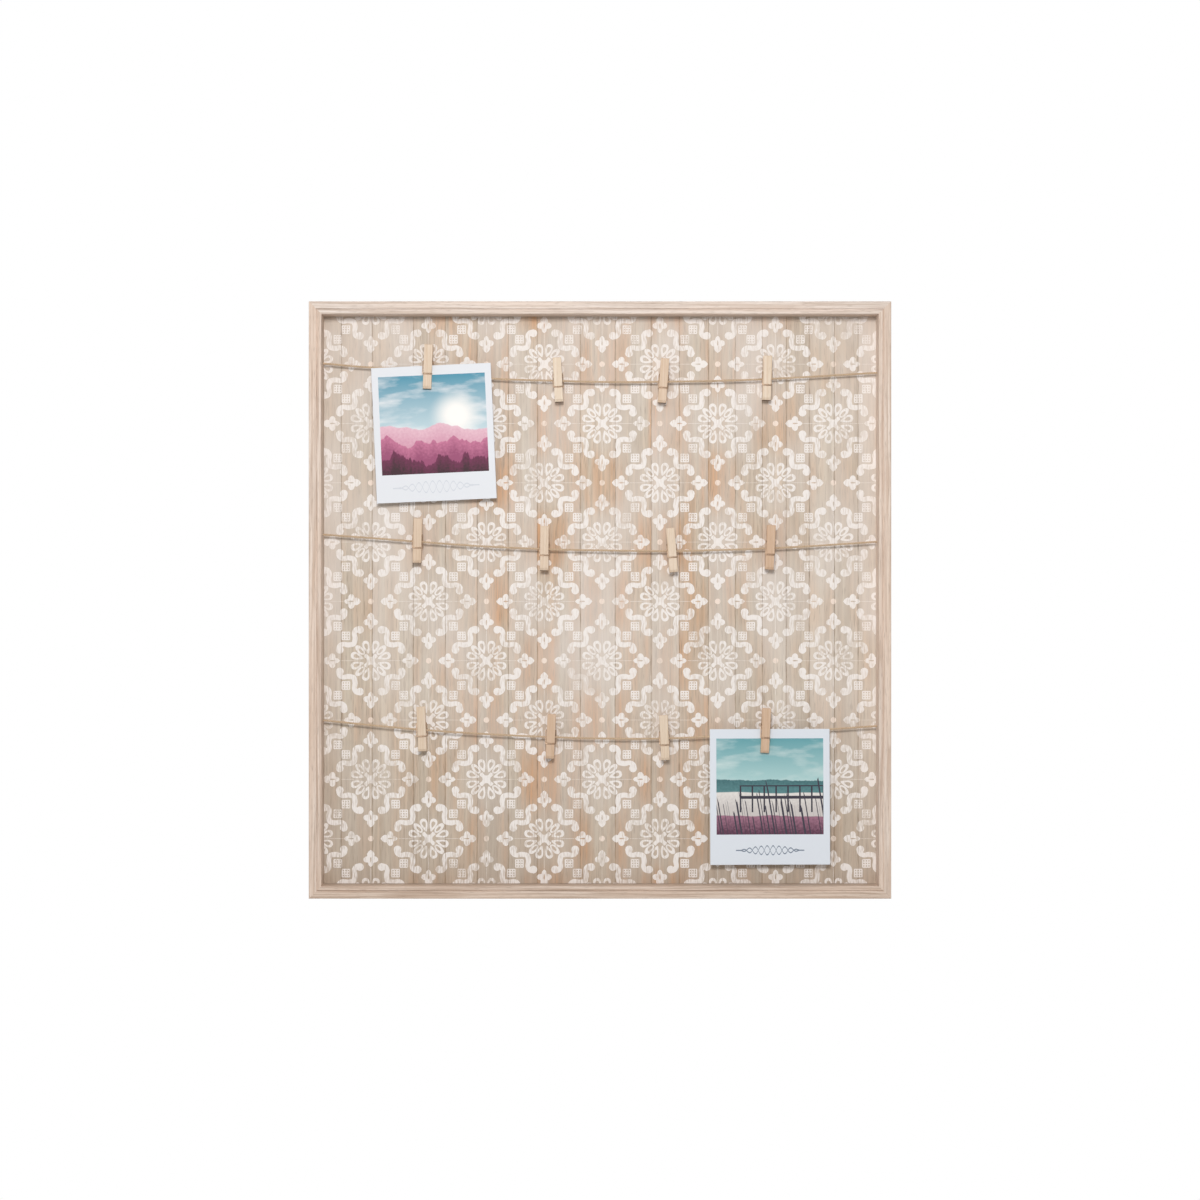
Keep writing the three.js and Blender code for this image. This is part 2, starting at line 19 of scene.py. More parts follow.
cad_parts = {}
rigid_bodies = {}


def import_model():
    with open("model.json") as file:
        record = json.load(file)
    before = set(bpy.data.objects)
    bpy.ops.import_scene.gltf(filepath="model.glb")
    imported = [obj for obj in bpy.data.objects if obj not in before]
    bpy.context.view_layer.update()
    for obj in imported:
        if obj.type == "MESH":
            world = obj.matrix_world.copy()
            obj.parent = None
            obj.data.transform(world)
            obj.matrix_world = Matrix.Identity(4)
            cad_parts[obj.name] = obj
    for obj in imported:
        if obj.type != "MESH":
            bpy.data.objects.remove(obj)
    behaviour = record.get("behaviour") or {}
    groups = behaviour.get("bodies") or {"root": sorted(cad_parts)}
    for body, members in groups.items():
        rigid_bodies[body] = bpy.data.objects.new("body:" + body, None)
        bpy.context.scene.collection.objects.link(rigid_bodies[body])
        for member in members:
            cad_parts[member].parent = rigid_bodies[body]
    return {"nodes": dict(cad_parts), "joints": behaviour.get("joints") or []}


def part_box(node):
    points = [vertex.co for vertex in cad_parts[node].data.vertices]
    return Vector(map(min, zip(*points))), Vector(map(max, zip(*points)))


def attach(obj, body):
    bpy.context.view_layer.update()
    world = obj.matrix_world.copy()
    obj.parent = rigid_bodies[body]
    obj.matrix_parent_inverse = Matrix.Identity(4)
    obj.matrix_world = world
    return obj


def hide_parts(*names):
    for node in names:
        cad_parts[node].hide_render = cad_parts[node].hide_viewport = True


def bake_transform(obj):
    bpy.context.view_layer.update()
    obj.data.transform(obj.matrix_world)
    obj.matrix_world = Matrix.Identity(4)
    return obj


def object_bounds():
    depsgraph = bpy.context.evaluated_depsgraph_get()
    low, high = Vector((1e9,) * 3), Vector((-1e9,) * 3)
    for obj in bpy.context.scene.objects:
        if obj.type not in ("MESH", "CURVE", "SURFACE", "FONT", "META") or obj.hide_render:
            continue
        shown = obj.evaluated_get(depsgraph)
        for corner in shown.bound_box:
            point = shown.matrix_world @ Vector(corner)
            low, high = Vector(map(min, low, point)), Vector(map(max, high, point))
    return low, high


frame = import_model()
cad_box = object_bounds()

# %% [markdown]
# ## Camera
# The picture looks straight at the display from almost two metres away, so the inner walls of the
# frame show as thin slivers on all four sides. A flat view without perspective would lose them, and
# a close one would show too much of them. The lens follows from the width of the picture, measured
# at the front of the frame.

# %% Camera
CAMERA_TO_FACE = 1.85
PICTURE_WIDTH = 1.2049
front_face = cad_box[0].y
middle_height = (cad_box[0].z + cad_box[1].z) / 2

camera_data = bpy.data.cameras.new("camera")
camera_data.lens = camera_data.sensor_width * CAMERA_TO_FACE / PICTURE_WIDTH
camera = bpy.data.objects.new("camera", camera_data)
camera.location = (0, front_face - CAMERA_TO_FACE, middle_height)
camera.rotation_euler = (math.radians(90), 0, 0)
bpy.context.scene.collection.objects.link(camera)
bpy.context.scene.camera = camera
print(f"lens {camera_data.lens:.1f} mm, {CAMERA_TO_FACE} m from the frame")

# %% [markdown]
# ## Tools for the steps below
# Sizes of pieces are written in millimetres, as a maker would mark them, and become metres when a mesh
# is made. The camera, the lamps, the floor and the cords' routes are in metres from the start. Node trees
# are long to write out, so one small function adds any node with its settings and links. A node that is
# given as an input stands for its first output. A Geometry Nodes tree is run once and its result kept as
# a plain mesh, with nothing live left on it.

# %% Meshes
MM = 0.001


def show(name, mesh):
    """Puts a mesh into the scene as an object at the origin."""
    made = bpy.data.objects.new(name, mesh)
    bpy.context.scene.collection.objects.link(made)
    return made


def mesh_of(name, points, faces):
    """A mesh from points in millimetres."""
    mesh = bpy.data.meshes.new(name)
    mesh.from_pydata([Vector(point) * MM for point in points], [], faces)
    mesh.validate()
    return mesh


def finish_bmesh(name, work):
    """Turns a bmesh into a mesh with its faces pointing outwards, and frees it."""
    bmesh.ops.recalc_face_normals(work, faces=work.faces)
    mesh = bpy.data.meshes.new(name)
    work.to_mesh(mesh)
    work.free()
    return mesh


# %% Nodes
def feed(tree, node, inputs):
    """Fills inputs of a node from sockets, from other nodes' first outputs, or with plain values."""
    for name, value in inputs.items():
        if isinstance(value, bpy.types.Node):
            value = next(output for output in value.outputs if output.enabled)
        if isinstance(value, bpy.types.NodeSocket):
            tree.links.new(value, node.inputs[name])
        else:
            node.inputs[name].default_value = value


def add(tree, kind, inputs=None, **settings):
    """Adds one node, with its settings first, and feeds its inputs."""
    made = tree.nodes.new(kind)
    for name, value in settings.items():
        setattr(made, name, value)
    feed(tree, made, inputs or {})
    return made


def linear(colour):
    """An sRGB colour in hex, such as d4c5b7, as linear red, green, blue and alpha."""
    parts = [int(colour[place:place + 2], 16) / 255 for place in (0, 2, 4)]
    return [c / 12.92 if c <= 0.04045 else ((c + 0.055) / 1.055) ** 2.4 for c in parts] + [1]


def new_material(name):
    """An empty material with a Principled shader. Returns the material, its tree and the shader."""
    material = bpy.data.materials.new(name)
    material.use_nodes = True
    tree = material.node_tree
    return material, tree, tree.nodes["Principled BSDF"]


# %% Trees of Geometry Nodes
def new_tree(name, **sizes):
    """A Geometry Nodes tree that takes a geometry and named sizes. Returns it and its input node."""
    tree = bpy.data.node_groups.new(name, "GeometryNodeTree")
    tree.interface.new_socket("Geometry", in_out="OUTPUT", socket_type="NodeSocketGeometry")
    tree.interface.new_socket("Geometry", in_out="INPUT", socket_type="NodeSocketGeometry")
    for size, kind in sizes.items():
        tree.interface.new_socket(size, in_out="INPUT", socket_type="NodeSocket" + kind)
    return tree, add(tree, "NodeGroupInput")


def end_tree(tree, geometry, material):
    """Closes a tree: its copies become real faces and take their material."""
    real = add(tree, "GeometryNodeRealizeInstances", {"Geometry": geometry})
    painted = add(tree, "GeometryNodeSetMaterial", {"Geometry": real, "Material": material})
    add(tree, "NodeGroupOutput", {"Geometry": painted})


def run_tree(name, carrier, tree, **sizes):
    """Runs a tree on an object and returns the result as a plain mesh. The carrier is removed."""
    modifier = carrier.modifiers.new(tree.name, "NODES")
    modifier.node_group = tree
    for socket in tree.interface.items_tree:
        if socket.in_out == "INPUT" and socket.name in sizes:
            modifier[socket.identifier] = sizes[socket.name]
    graph = bpy.context.evaluated_depsgraph_get()
    mesh = bpy.data.meshes.new_from_object(carrier.evaluated_get(graph))
    mesh.name = name
    carrier.modifiers.remove(modifier)
    bpy.data.objects.remove(carrier)
    return mesh


# %% [markdown]
# ## Jute twine
# Jute is a coarse bast fibre: dull, greyish brown, and hairy along its whole length. Three yarns are
# laid together into twine of about two millimetres. A plain tube with a striped texture would look
# smooth at its edge, so the three yarns are modelled. They follow a rule, a helix about the cord's
# line, so Geometry Nodes make them from that line, and strew short loose fibres over them.

# %% Jute
JUTE_FLECK = 1.1
JUTE_PATCH = 15.4


def jute():
    """Jute: matt bast fibre, with flecks of straw and brown along each yarn and no gloss."""
    material, tree, shader = new_material("jute twine")
    place = add(tree, "ShaderNodeTexCoord").outputs["Object"]
    flecks = add(tree, "ShaderNodeTexNoise", {"Vector": place, "Scale": 1 / (JUTE_FLECK * MM), "Detail": 3})
    patches = add(tree, "ShaderNodeTexNoise", {"Vector": place, "Scale": 1 / (JUTE_PATCH * MM)})
    share = add(tree, "ShaderNodeMapRange", {"Value": flecks, "From Min": 0.3, "From Max": 0.7})
    yarn = add(tree, "ShaderNodeMix", {0: share, 6: linear("b4977a"), 7: linear("e2ccb0")}, data_type="RGBA")
    aged = add(tree, "ShaderNodeMix", {0: patches, 6: yarn, 7: linear("c8ae91")}, data_type="RGBA")
    bump = add(tree, "ShaderNodeBump", {"Height": flecks, "Strength": 0.5, "Distance": 0.2 * MM})
    feed(tree, shader, {"Base Color": aged, "Normal": bump, "Roughness": 0.92, "Specular IOR Level": 0.2})
    return material


JUTE = jute()
print(f"{JUTE.name}: flecks of {JUTE_FLECK} mm, in patches of {JUTE_PATCH} mm")

# %% Twine from a line
YARNS = 3
YARN_RADIUS = 0.58  # soft yarns press into each other, so they lie closer than round wires would
YARN_OFFSET = 0.46
LAY_LENGTH = 7.0  # of one full turn of the yarns
LAY_STEP = 0.6
YARN_SIDES = 6
FIBRES_PER_CM2 = 30
FIBRE_RADIUS = 0.05
FIBRE_BEND = (0.6, 0, 0.5)  # a fibre leaves its yarn towards this place and ends at its tip
FIBRE_TIP = (2.4, 0.3, 0.6)
FIBRE_SCALES = (0.4, 0.9)


def twine_tree():
    """Yarns twisted about the line that the tree is given, with loose fibres where no print covers them."""
    tree, given = new_tree(
        "jute twine", Yarns="Int", Radius="Float", Offset="Float", Lay="Float", Step="Float",
        Fibres="Float", Covered_middle="Float", Covered_half="Float",
    )
    size = given.outputs
    line = add(tree, "GeometryNodeResampleCurve", {
        "Curve": size["Geometry"], "Length": size["Step"],
    }, mode="LENGTH")
    yarns = add(tree, "GeometryNodeDuplicateElements", {
        "Geometry": line, "Amount": size["Yarns"],
    }, domain="SPLINE")
    run = add(tree, "GeometryNodeSplineParameter").outputs["Length"]
    turns = add(tree, "ShaderNodeMath", {0: run, 1: size["Lay"]}, operation="DIVIDE")
    number = yarns.outputs["Duplicate Index"]
    share = add(tree, "ShaderNodeMath", {0: number, 1: size["Yarns"]}, operation="DIVIDE")
    both = add(tree, "ShaderNodeMath", {0: turns, 1: share}, operation="ADD")
    angle = add(tree, "ShaderNodeMath", {0: both, 1: 2 * math.pi}, operation="MULTIPLY")
    aside = add(tree, "ShaderNodeVectorRotate", {
        "Vector": add(tree, "GeometryNodeInputNormal"),
        "Axis": add(tree, "GeometryNodeInputTangent"),
        "Angle": angle,
    })
    reach = add(tree, "ShaderNodeVectorMath", {0: aside, "Scale": size["Offset"]}, operation="SCALE")
    laid = add(tree, "GeometryNodeSetPosition", {"Geometry": yarns, "Offset": reach})
    section = add(tree, "GeometryNodeCurvePrimitiveCircle", {
        "Resolution": YARN_SIDES, "Radius": size["Radius"],
    })
    tubes = add(tree, "GeometryNodeCurveToMesh", {
        "Curve": laid, "Profile Curve": section, "Fill Caps": True,
    })
    hair_line = add(tree, "GeometryNodeCurveQuadraticBezier", {
        "Resolution": 3, "Start": (0, 0, 0), "Middle": Vector(FIBRE_BEND) * MM, "End": Vector(FIBRE_TIP) * MM,
    })
    hair_section = add(tree, "GeometryNodeCurvePrimitiveCircle", {
        "Resolution": 3, "Radius": FIBRE_RADIUS * MM,
    })
    hair = add(tree, "GeometryNodeCurveToMesh", {
        "Curve": hair_line, "Profile Curve": hair_section, "Fill Caps": True,
    })
    place = add(tree, "ShaderNodeSeparateXYZ", {0: add(tree, "GeometryNodeInputPosition")})
    covered = add(tree, "ShaderNodeMath", {
        0: place.outputs["X"], 1: size["Covered_middle"], 2: size["Covered_half"],
    }, operation="COMPARE")
    bare = add(tree, "ShaderNodeMath", {0: 1.0, 1: covered}, operation="SUBTRACT")
    roots = add(tree, "GeometryNodeDistributePointsOnFaces", {
        "Mesh": tubes, "Selection": bare, "Density": size["Fibres"], "Seed": 3,
    })
    spin = add(tree, "FunctionNodeRandomValue", {2: 0.0, 3: 2 * math.pi, "Seed": 4})
    turn = add(tree, "FunctionNodeAxisAngleToRotation", {"Axis": (0, 0, 1), "Angle": spin})
    facing = add(tree, "FunctionNodeRotateRotation", {
        "Rotation": roots.outputs["Rotation"], "Rotate By": turn,
    }, rotation_space="LOCAL")
    length = add(tree, "FunctionNodeRandomValue", {2: FIBRE_SCALES[0], 3: FIBRE_SCALES[1], "Seed": 5})
    hairs = add(tree, "GeometryNodeInstanceOnPoints", {
        "Points": roots.outputs["Points"], "Instance": hair,
        "Rotation": facing, "Scale": length,
    })
    smooth = add(tree, "GeometryNodeSetShadeSmooth", {"Geometry": tubes})
    twine = add(tree, "GeometryNodeJoinGeometry")
    for part in (hairs, smooth):
        feed(tree, twine, {0: part})
    end_tree(tree, twine, JUTE)
    return tree


TWINE_TREE = twine_tree()
print(f"each yarn is {2 * YARN_RADIUS} mm thick and turns once in {LAY_LENGTH} mm")

# %% [markdown]
# ## The three cords
# Each cord is glued into a hole in the left rail, sags a little under its pegs and goes into a hole
# in the right rail. Its route is the CAD model's own: a few chosen points, and a smooth curve through
# them whose tangents are eased by the distances between the points.

# %% Lines
def smooth_line(points, steps):
    """A curve through points: a cubic between each two, its tangents eased by their distances."""
    chain = [2 * points[0] - points[1], *points, 2 * points[-1] - points[-2]]
    line = []
    for before, start, end, after in zip(chain, chain[1:], chain[2:], chain[3:]):
        gaps = ((before, start), (start, end), (end, after))
        first, span, last = [math.sqrt((b - a).length) for a, b in gaps]
        leave = (start - before) / first - (end - before) / (first + span) + (end - start) / span
        arrive = (end - start) / span - (after - start) / (span + last) + (after - end) / last
        for step in range(steps):
            t = step / steps
            line.append(
                start * (2 * t ** 3 - 3 * t ** 2 + 1) + end * (3 * t ** 2 - 2 * t ** 3)
                + leave * span * (t ** 3 - 2 * t ** 2 + t) + arrive * span * (t ** 3 - t ** 2)
            )
    return line + [points[-1]]


def line_object(name, points):
    """A bare curve through points in metres."""
    data = bpy.data.curves.new(name, "CURVE")
    data.dimensions = "3D"
    spline = data.splines.new("POLY")
    spline.points.add(len(points) - 1)
    for knot, point in zip(spline.points, points):
        knot.co = (*point, 1)
    return show(name, data)


# %% Cords
CORD_IN_RAIL = 0.0047
INNER_WALL = 0.280
CORD_PLANE = -0.013
CURVE_STEPS = 16
ROWS_WITH_PRINTS = ("top", "bottom")
PRINT_SLIDE = 0.01  # a print moves almost this far aside with its peg, so no fibres stand there either
# For each row: its height, the drop of its two ends, and the chosen points between them
ROWS = {
    "top": (-0.0574, (0, -0.0094), [
        (-0.2343, -0.0038), (-0.2039, -0.0044), (-0.1737, -0.0052), (-0.1413, -0.0106), (-0.1079, -0.0152),
        (-0.0755, -0.0166), (-0.0424, -0.0175), (-0.0098, -0.0184), (0.0256, -0.0187), (0.064, -0.0184),
        (0.1176, -0.0175), (0.1688, -0.0157), (0.2228, -0.0128),
    ]),
    "middle": (-0.2305, (0, -0.0072), [
        (-0.2363, -0.003), (-0.1844, -0.007), (-0.121, -0.0115), (-0.0562, -0.0145), (0.0003, -0.0158),
        (0.0728, -0.0165), (0.1216, -0.0154), (0.172, -0.0137), (0.2248, -0.0108),
    ]),
    "bottom": (-0.4182, (0, -0.0058), [
        (-0.2323, -0.0048), (-0.1801, -0.0095), (-0.116, -0.0138), (-0.0498, -0.0169), (0.0003, -0.0183),
        (0.0651, -0.0183), (0.1115, -0.0162), (0.1671, -0.0116), (0.2339, -0.0088),
    ]),
}
for row, (height, (left_drop, right_drop), route) in ROWS.items():
    deep = INNER_WALL + CORD_IN_RAIL
    stops = [(-deep, left_drop), (-INNER_WALL, left_drop), *route]
    stops += [(INNER_WALL, right_drop), (deep, right_drop)]
    path = smooth_line([Vector((x, CORD_PLANE, height + drop)) for x, drop in stops], CURVE_STEPS)
    low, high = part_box("photo_print_" + row) if row in ROWS_WITH_PRINTS else (Vector(), Vector())
    mesh = run_tree(
        "twine_" + row, line_object("line_" + row, path), TWINE_TREE, Yarns=YARNS, Radius=YARN_RADIUS * MM,
        Offset=YARN_OFFSET * MM, Lay=LAY_LENGTH * MM, Step=LAY_STEP * MM, Fibres=FIBRES_PER_CM2 * 1e4,
        Covered_middle=(low.x + high.x) / 2, Covered_half=(high.x - low.x) / 2 + PRINT_SLIDE,
    )
    twine = show("twine_" + row, mesh)
    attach(twine, "frame")
    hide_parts("cord_" + row)

# %% [markdown]
# ## Grain
# All the wood here is cut along the grain, so it shows long straight lines. Under a lens, oak and ash
# have bands of early and late growth, broad slow changes of tone, and short dark pores. One group of
# nodes draws all three along Z, and each kind of wood turns and colours it in its own way. Real pores
# are a fifth of a millimetre wide. They are drawn wider here, or a picture of this size would lose them.

# %% Wood grain
# For each part of the grain: its width, stretch and detail, and the noise at which it starts and is full
GRAIN_PARTS = {
    "Bands": (2.6, 55, 3, 0.3, 0.7), "Tone": (13, 14, 2, 0.3, 0.7), "Pores": (0.8, 18, 1, 0.56, 0.74),
}
WANDER = 3.0  # how far a grain line strays to one side
WANDER_LENGTH = 160


def wood_grain():
    """Grain along Z, from a place in millimetres: its growth bands, its slow tone and its pores."""
    tree = bpy.data.node_groups.new("wood grain", "ShaderNodeTree")
    tree.interface.new_socket("Place", in_out="INPUT", socket_type="NodeSocketVector")
    for name in GRAIN_PARTS:
        tree.interface.new_socket(name, in_out="OUTPUT", socket_type="NodeSocketFloat")
    place = add(tree, "NodeGroupInput").outputs["Place"]
    slow = add(tree, "ShaderNodeVectorMath", {
        0: place, 1: (0.2 / WANDER_LENGTH, 0.2 / WANDER_LENGTH, 1 / WANDER_LENGTH),
    }, operation="MULTIPLY")
    stray = add(tree, "ShaderNodeTexNoise", {"Vector": slow, "Scale": 1.0, "Detail": 2})
    strayed = add(tree, "ShaderNodeVectorMath", {
        0: stray.outputs["Color"], 1: (2 * WANDER, 2 * WANDER, 0), 2: place,
    }, operation="MULTIPLY_ADD")
    end = add(tree, "NodeGroupOutput")
    for name, (width, stretch, detail, low, high) in GRAIN_PARTS.items():
        drawn = add(tree, "ShaderNodeVectorMath", {
            0: strayed, 1: (1 / width, 1 / width, 1 / width / stretch),
        }, operation="MULTIPLY")
        noise = add(tree, "ShaderNodeTexNoise", {"Vector": drawn, "Scale": 1.0, "Detail": detail})
        spread = add(tree, "ShaderNodeMapRange", {
            "Value": noise, "From Min": low, "From Max": high,
        }, interpolation_type="SMOOTHSTEP")
        feed(tree, end, {name: spread})
    return tree


WOOD_GRAIN = wood_grain()
print("widths of the grain:", {name: part[0] for name, part in GRAIN_PARTS.items()})

# %% [markdown]
# ## Frame rails
# The four rails are milled from one moulding: a broad outer band, a fine groove and a narrow inner
# band, mitred at the corners. The CAD rails are sharp solids with all their holes and housings. A
# new sweep would lose those, so each rail is a merged copy of its solid, with the long edges eased
# over as a maker does with fine paper. The wood is pale, straight-grained and left almost raw. Each
# rail has its own copy of the wood, with painted shade on its inner walls that deepens from the front
# edge back towards the panel: darkest on the lower and upper walls, faintest on the right one. The
# lower rail's face is a little darker too.

# %% Bleached oak
RAIL_GRAIN = 1.5  # times as fine as the grain of the staves
WALL_SHADE_DEPTHS = (-24, -10)  # painted shade on the inner walls: none in front of the first place on the Y axis, full behind the second


def bleached_oak(name, turn, pale, dark, tan, bare):
    """Bleached oak, planed and sanded: pinkish straw with clear grain stripes, a dull sheen, and painted
    shade on inner walls.
    """
    material, tree, shader = new_material(name)
    place = add(tree, "ShaderNodeTexCoord").outputs["Object"]
    along = add(tree, "ShaderNodeMapping", {
        "Vector": place, "Rotation": turn, "Scale": (RAIL_GRAIN / MM,) * 3,
    })
    grain = add(tree, "ShaderNodeGroup", {"Place": along}, node_tree=WOOD_GRAIN)
    bands = grain.outputs["Bands"]
    tone = add(tree, "ShaderNodeMath", {0: grain.outputs["Tone"], 1: 0.5}, operation="MULTIPLY")
    pores = add(tree, "ShaderNodeMath", {0: grain.outputs["Pores"], 1: 0.45}, operation="MULTIPLY")
    depth = add(tree, "ShaderNodeSeparateXYZ", {0: place}).outputs["Y"]
    # painted shade: the inner walls darken from the front edge back, towards each rail's bare colour
    wall_shade = add(tree, "ShaderNodeMapRange", {
        "Value": depth, "From Min": WALL_SHADE_DEPTHS[0] * MM, "From Max": WALL_SHADE_DEPTHS[1] * MM, "To Max": 0.6,
    })
    shown = add(tree, "ShaderNodeMix", {0: bands, 6: linear(dark), 7: linear(pale)}, data_type="RGBA")
    for share, colour in ((tone, tan), (pores, "a08a79"), (wall_shade, bare)):
        shown = add(tree, "ShaderNodeMix", {0: share, 6: shown, 7: linear(colour)}, data_type="RGBA")
    rough = add(tree, "ShaderNodeMapRange", {"Value": bands, "To Min": 0.55, "To Max": 0.7})
    bump = add(tree, "ShaderNodeBump", {
        "Height": grain.outputs["Pores"], "Strength": 0.3, "Distance": 0.15 * MM,
    }, invert=True)
    feed(tree, shader, {"Base Color": shown, "Roughness": rough, "Normal": bump})
    return material


LYING = (0, math.radians(90), 0)
UPRIGHT = (0, 0, 0)
# Lit and shaded copies of one wood, one per rail; the last colour is that rail's painted wall shade
OAK_LEFT = bleached_oak("bleached oak left", UPRIGHT, "ebdbce", "bfa693", "e4cab6", "b49d8b")
OAK_RIGHT = bleached_oak("bleached oak right", UPRIGHT, "ecddd0", "c1a895", "e4cbb7", "dfcdbe")
OAK_ABOVE = bleached_oak("bleached oak above", LYING, "eaddd3", "c3af9f", "e6d0c0", "a8917f")
OAK_BELOW = bleached_oak("bleached oak below", LYING, "e5d3c4", "b39985", "d8beaa", "907b6a")
print("woods of the rails:", [oak.name for oak in (OAK_LEFT, OAK_RIGHT, OAK_ABOVE, OAK_BELOW)])

# %% Rails
EASED_EDGE = 0.5
EASED_FROM = 60  # edges shorter than this stay as they were cut
EASED_ANGLE = math.radians(40)  # and so do blunter edges than this
MITRE_CLOSED = 0.2  # each rail's ends go this much further, because glue draws the mitres shut
MITRE_SLOPE = (0.6, 0.8)  # between these lies the share of a mitre's normal along its rail
WELD = 0.002


def eased_copy(node, name, length_way, material):
    """A merged copy of a CAD part, with its long outer edges rounded over and its mitres drawn shut."""
    work = bmesh.new()
    work.from_mesh(frame["nodes"][node].data)
    bmesh.ops.remove_doubles(work, verts=work.verts, dist=WELD * MM)
    bmesh.ops.dissolve_limit(work, angle_limit=math.radians(1), verts=work.verts, edges=work.edges)
    low, high = MITRE_SLOPE
    mitres = [face for face in work.faces if low < abs(face.normal.dot(length_way)) < high]
    for face in mitres:
        outward = length_way * math.copysign(MITRE_CLOSED * MM, face.normal.dot(length_way))
        bmesh.ops.translate(work, vec=outward, verts=face.verts)
    long_edges = [
        edge for edge in work.edges
        if edge.is_manifold and edge.is_convex and edge.calc_length() > EASED_FROM * MM
        and edge.calc_face_angle() > EASED_ANGLE
    ]
    eased = bmesh.ops.bevel(
        work, geom=long_edges, offset=EASED_EDGE * MM, offset_type="OFFSET", segments=3, profile=0.5,
        affect="EDGES", clamp_overlap=True,
    )
    for face in eased["faces"]:
        face.smooth = True
    mesh = finish_bmesh(name, work)
    mesh.materials.clear()
    mesh.materials.append(material)
    return show(name, mesh)


ACROSS = Vector((1, 0, 0))
UP = Vector((0, 0, 1))
RAILS = {
    "top": (ACROSS, OAK_ABOVE), "right": (UP, OAK_RIGHT),
    "bottom": (ACROSS, OAK_BELOW), "left": (UP, OAK_LEFT),
}
for side, (length_way, material) in RAILS.items():
    rail = eased_copy(side + "_rail", "rail_" + side, length_way, material)
    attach(rail, "frame")
    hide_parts(side + "_rail")
    print(rail.name, len(rail.data.polygons), "faces")

# %% [markdown]
# ## Stave panel
# The panel is a thin board faced with upright staves of many widths, each with its own tone. Dirt
# gathers along the joints, here and there, so they show as broken dark lines. Staves could be cut
# by hand in a loop, but they all follow one rule: a face between two seams, drawn in a little from
# its neighbours, raised, and chamfered. Geometry Nodes apply that rule to a row of plain faces.

# %% Panel sizes
STAVE_SEAMS = [
    -262.6, -231.1, -189.5, -157, -124.6, -93, -63.6, -20, 15.5,
    52, 80.5, 110, 137.3, 164.7, 189, 212.4, 237.8, 262,
]
STAVE_THICKNESS = 0.6
STAVE_JOINT = 0.25
STAVE_CHAMFER = 0.15
STAVE_SEED = 41
panel_low, panel_high = [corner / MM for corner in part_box("back_panel")]
stave_edges = [panel_low.x, *STAVE_SEAMS, panel_high.x]
tone_of_stave = [random.Random(STAVE_SEED + number).random() for number in range(len(STAVE_SEAMS) + 1)]


def mark_staves(mesh):
    """Writes each face's stave tone and half width, and how far each point lies from its stave's middle."""
    tone = mesh.attributes.new("stave_tone", "FLOAT", "FACE")
    half = mesh.attributes.new("stave_half", "FLOAT", "FACE")
    across = mesh.attributes.new("stave_across", "FLOAT", "POINT")
    for face in mesh.polygons:
        number = min(max(bisect.bisect(stave_edges, face.center.x / MM) - 1, 0), len(tone_of_stave) - 1)
        left, right = stave_edges[number:number + 2]
        tone.data[face.index].value = tone_of_stave[number]
        half.data[face.index].value = (right - left) / 2
        for point in face.vertices:
            across.data[point].value = mesh.vertices[point].co.x / MM - (left + right) / 2


stave_widths = [right - left for left, right in zip(stave_edges, stave_edges[1:])]
print(f"{len(stave_widths)} staves, {min(stave_widths):.1f} to {max(stave_widths):.1f} mm wide")

# %% Near a medallion
ROW_STEP = 60.2
PERIOD = 117.4
MEDALLION_CENTRE = (2.1, -358.1)


def near_medallion():
    """One in the middle of every stencilled medallion, falling to minus one midway between them."""
    tree = bpy.data.node_groups.new("near a medallion", "ShaderNodeTree")
    tree.interface.new_socket("Near", in_out="OUTPUT", socket_type="NodeSocketFloat")
    place = add(tree, "ShaderNodeTexCoord").outputs["Object"]
    turn = Vector((2 * math.pi / PERIOD, 0, math.pi / ROW_STEP))
    start = Vector((-MEDALLION_CENTRE[0] * turn.x, 0, -MEDALLION_CENTRE[1] * turn.z))
    angles = add(tree, "ShaderNodeVectorMath", {0: place, 1: turn / MM, 2: start}, operation="MULTIPLY_ADD")
    waves = add(tree, "ShaderNodeVectorMath", {0: angles}, operation="COSINE")
    wave = add(tree, "ShaderNodeSeparateXYZ", {0: waves})
    near = add(tree, "ShaderNodeMath", {0: wave.outputs["X"], 1: wave.outputs["Z"]}, operation="MULTIPLY")
    add(tree, "NodeGroupOutput", {"Near": near})
    return tree


NEAR_MEDALLION = near_medallion()
print(f"medallions repeat every {PERIOD} mm across and every {2 * ROW_STEP} mm upwards")

# %% Stave colour
STAVE_SPREAD = (0, 700, 1900)  # staves of the palest and the darkest tone lie this far apart in the grain
STAVE_DIRT_WIDTH = 1.0
STAVE_DIRT_LENGTH = 22
WASH_PATCH = 80
HAZE = 0.1  # of paint that the dry brush left beside the stencil's holes
WASH_HEIGHTS = (-560, -330)  # the wash is thinnest and thickest at these heights
FOOT_SHADE_HEIGHTS = (-400, -590)  # painted shade: the staves darken from here down to their foot, as the light fades towards it
WARM_WITHIN = (90, 230)  # the staves grow greyer between these distances from the middle


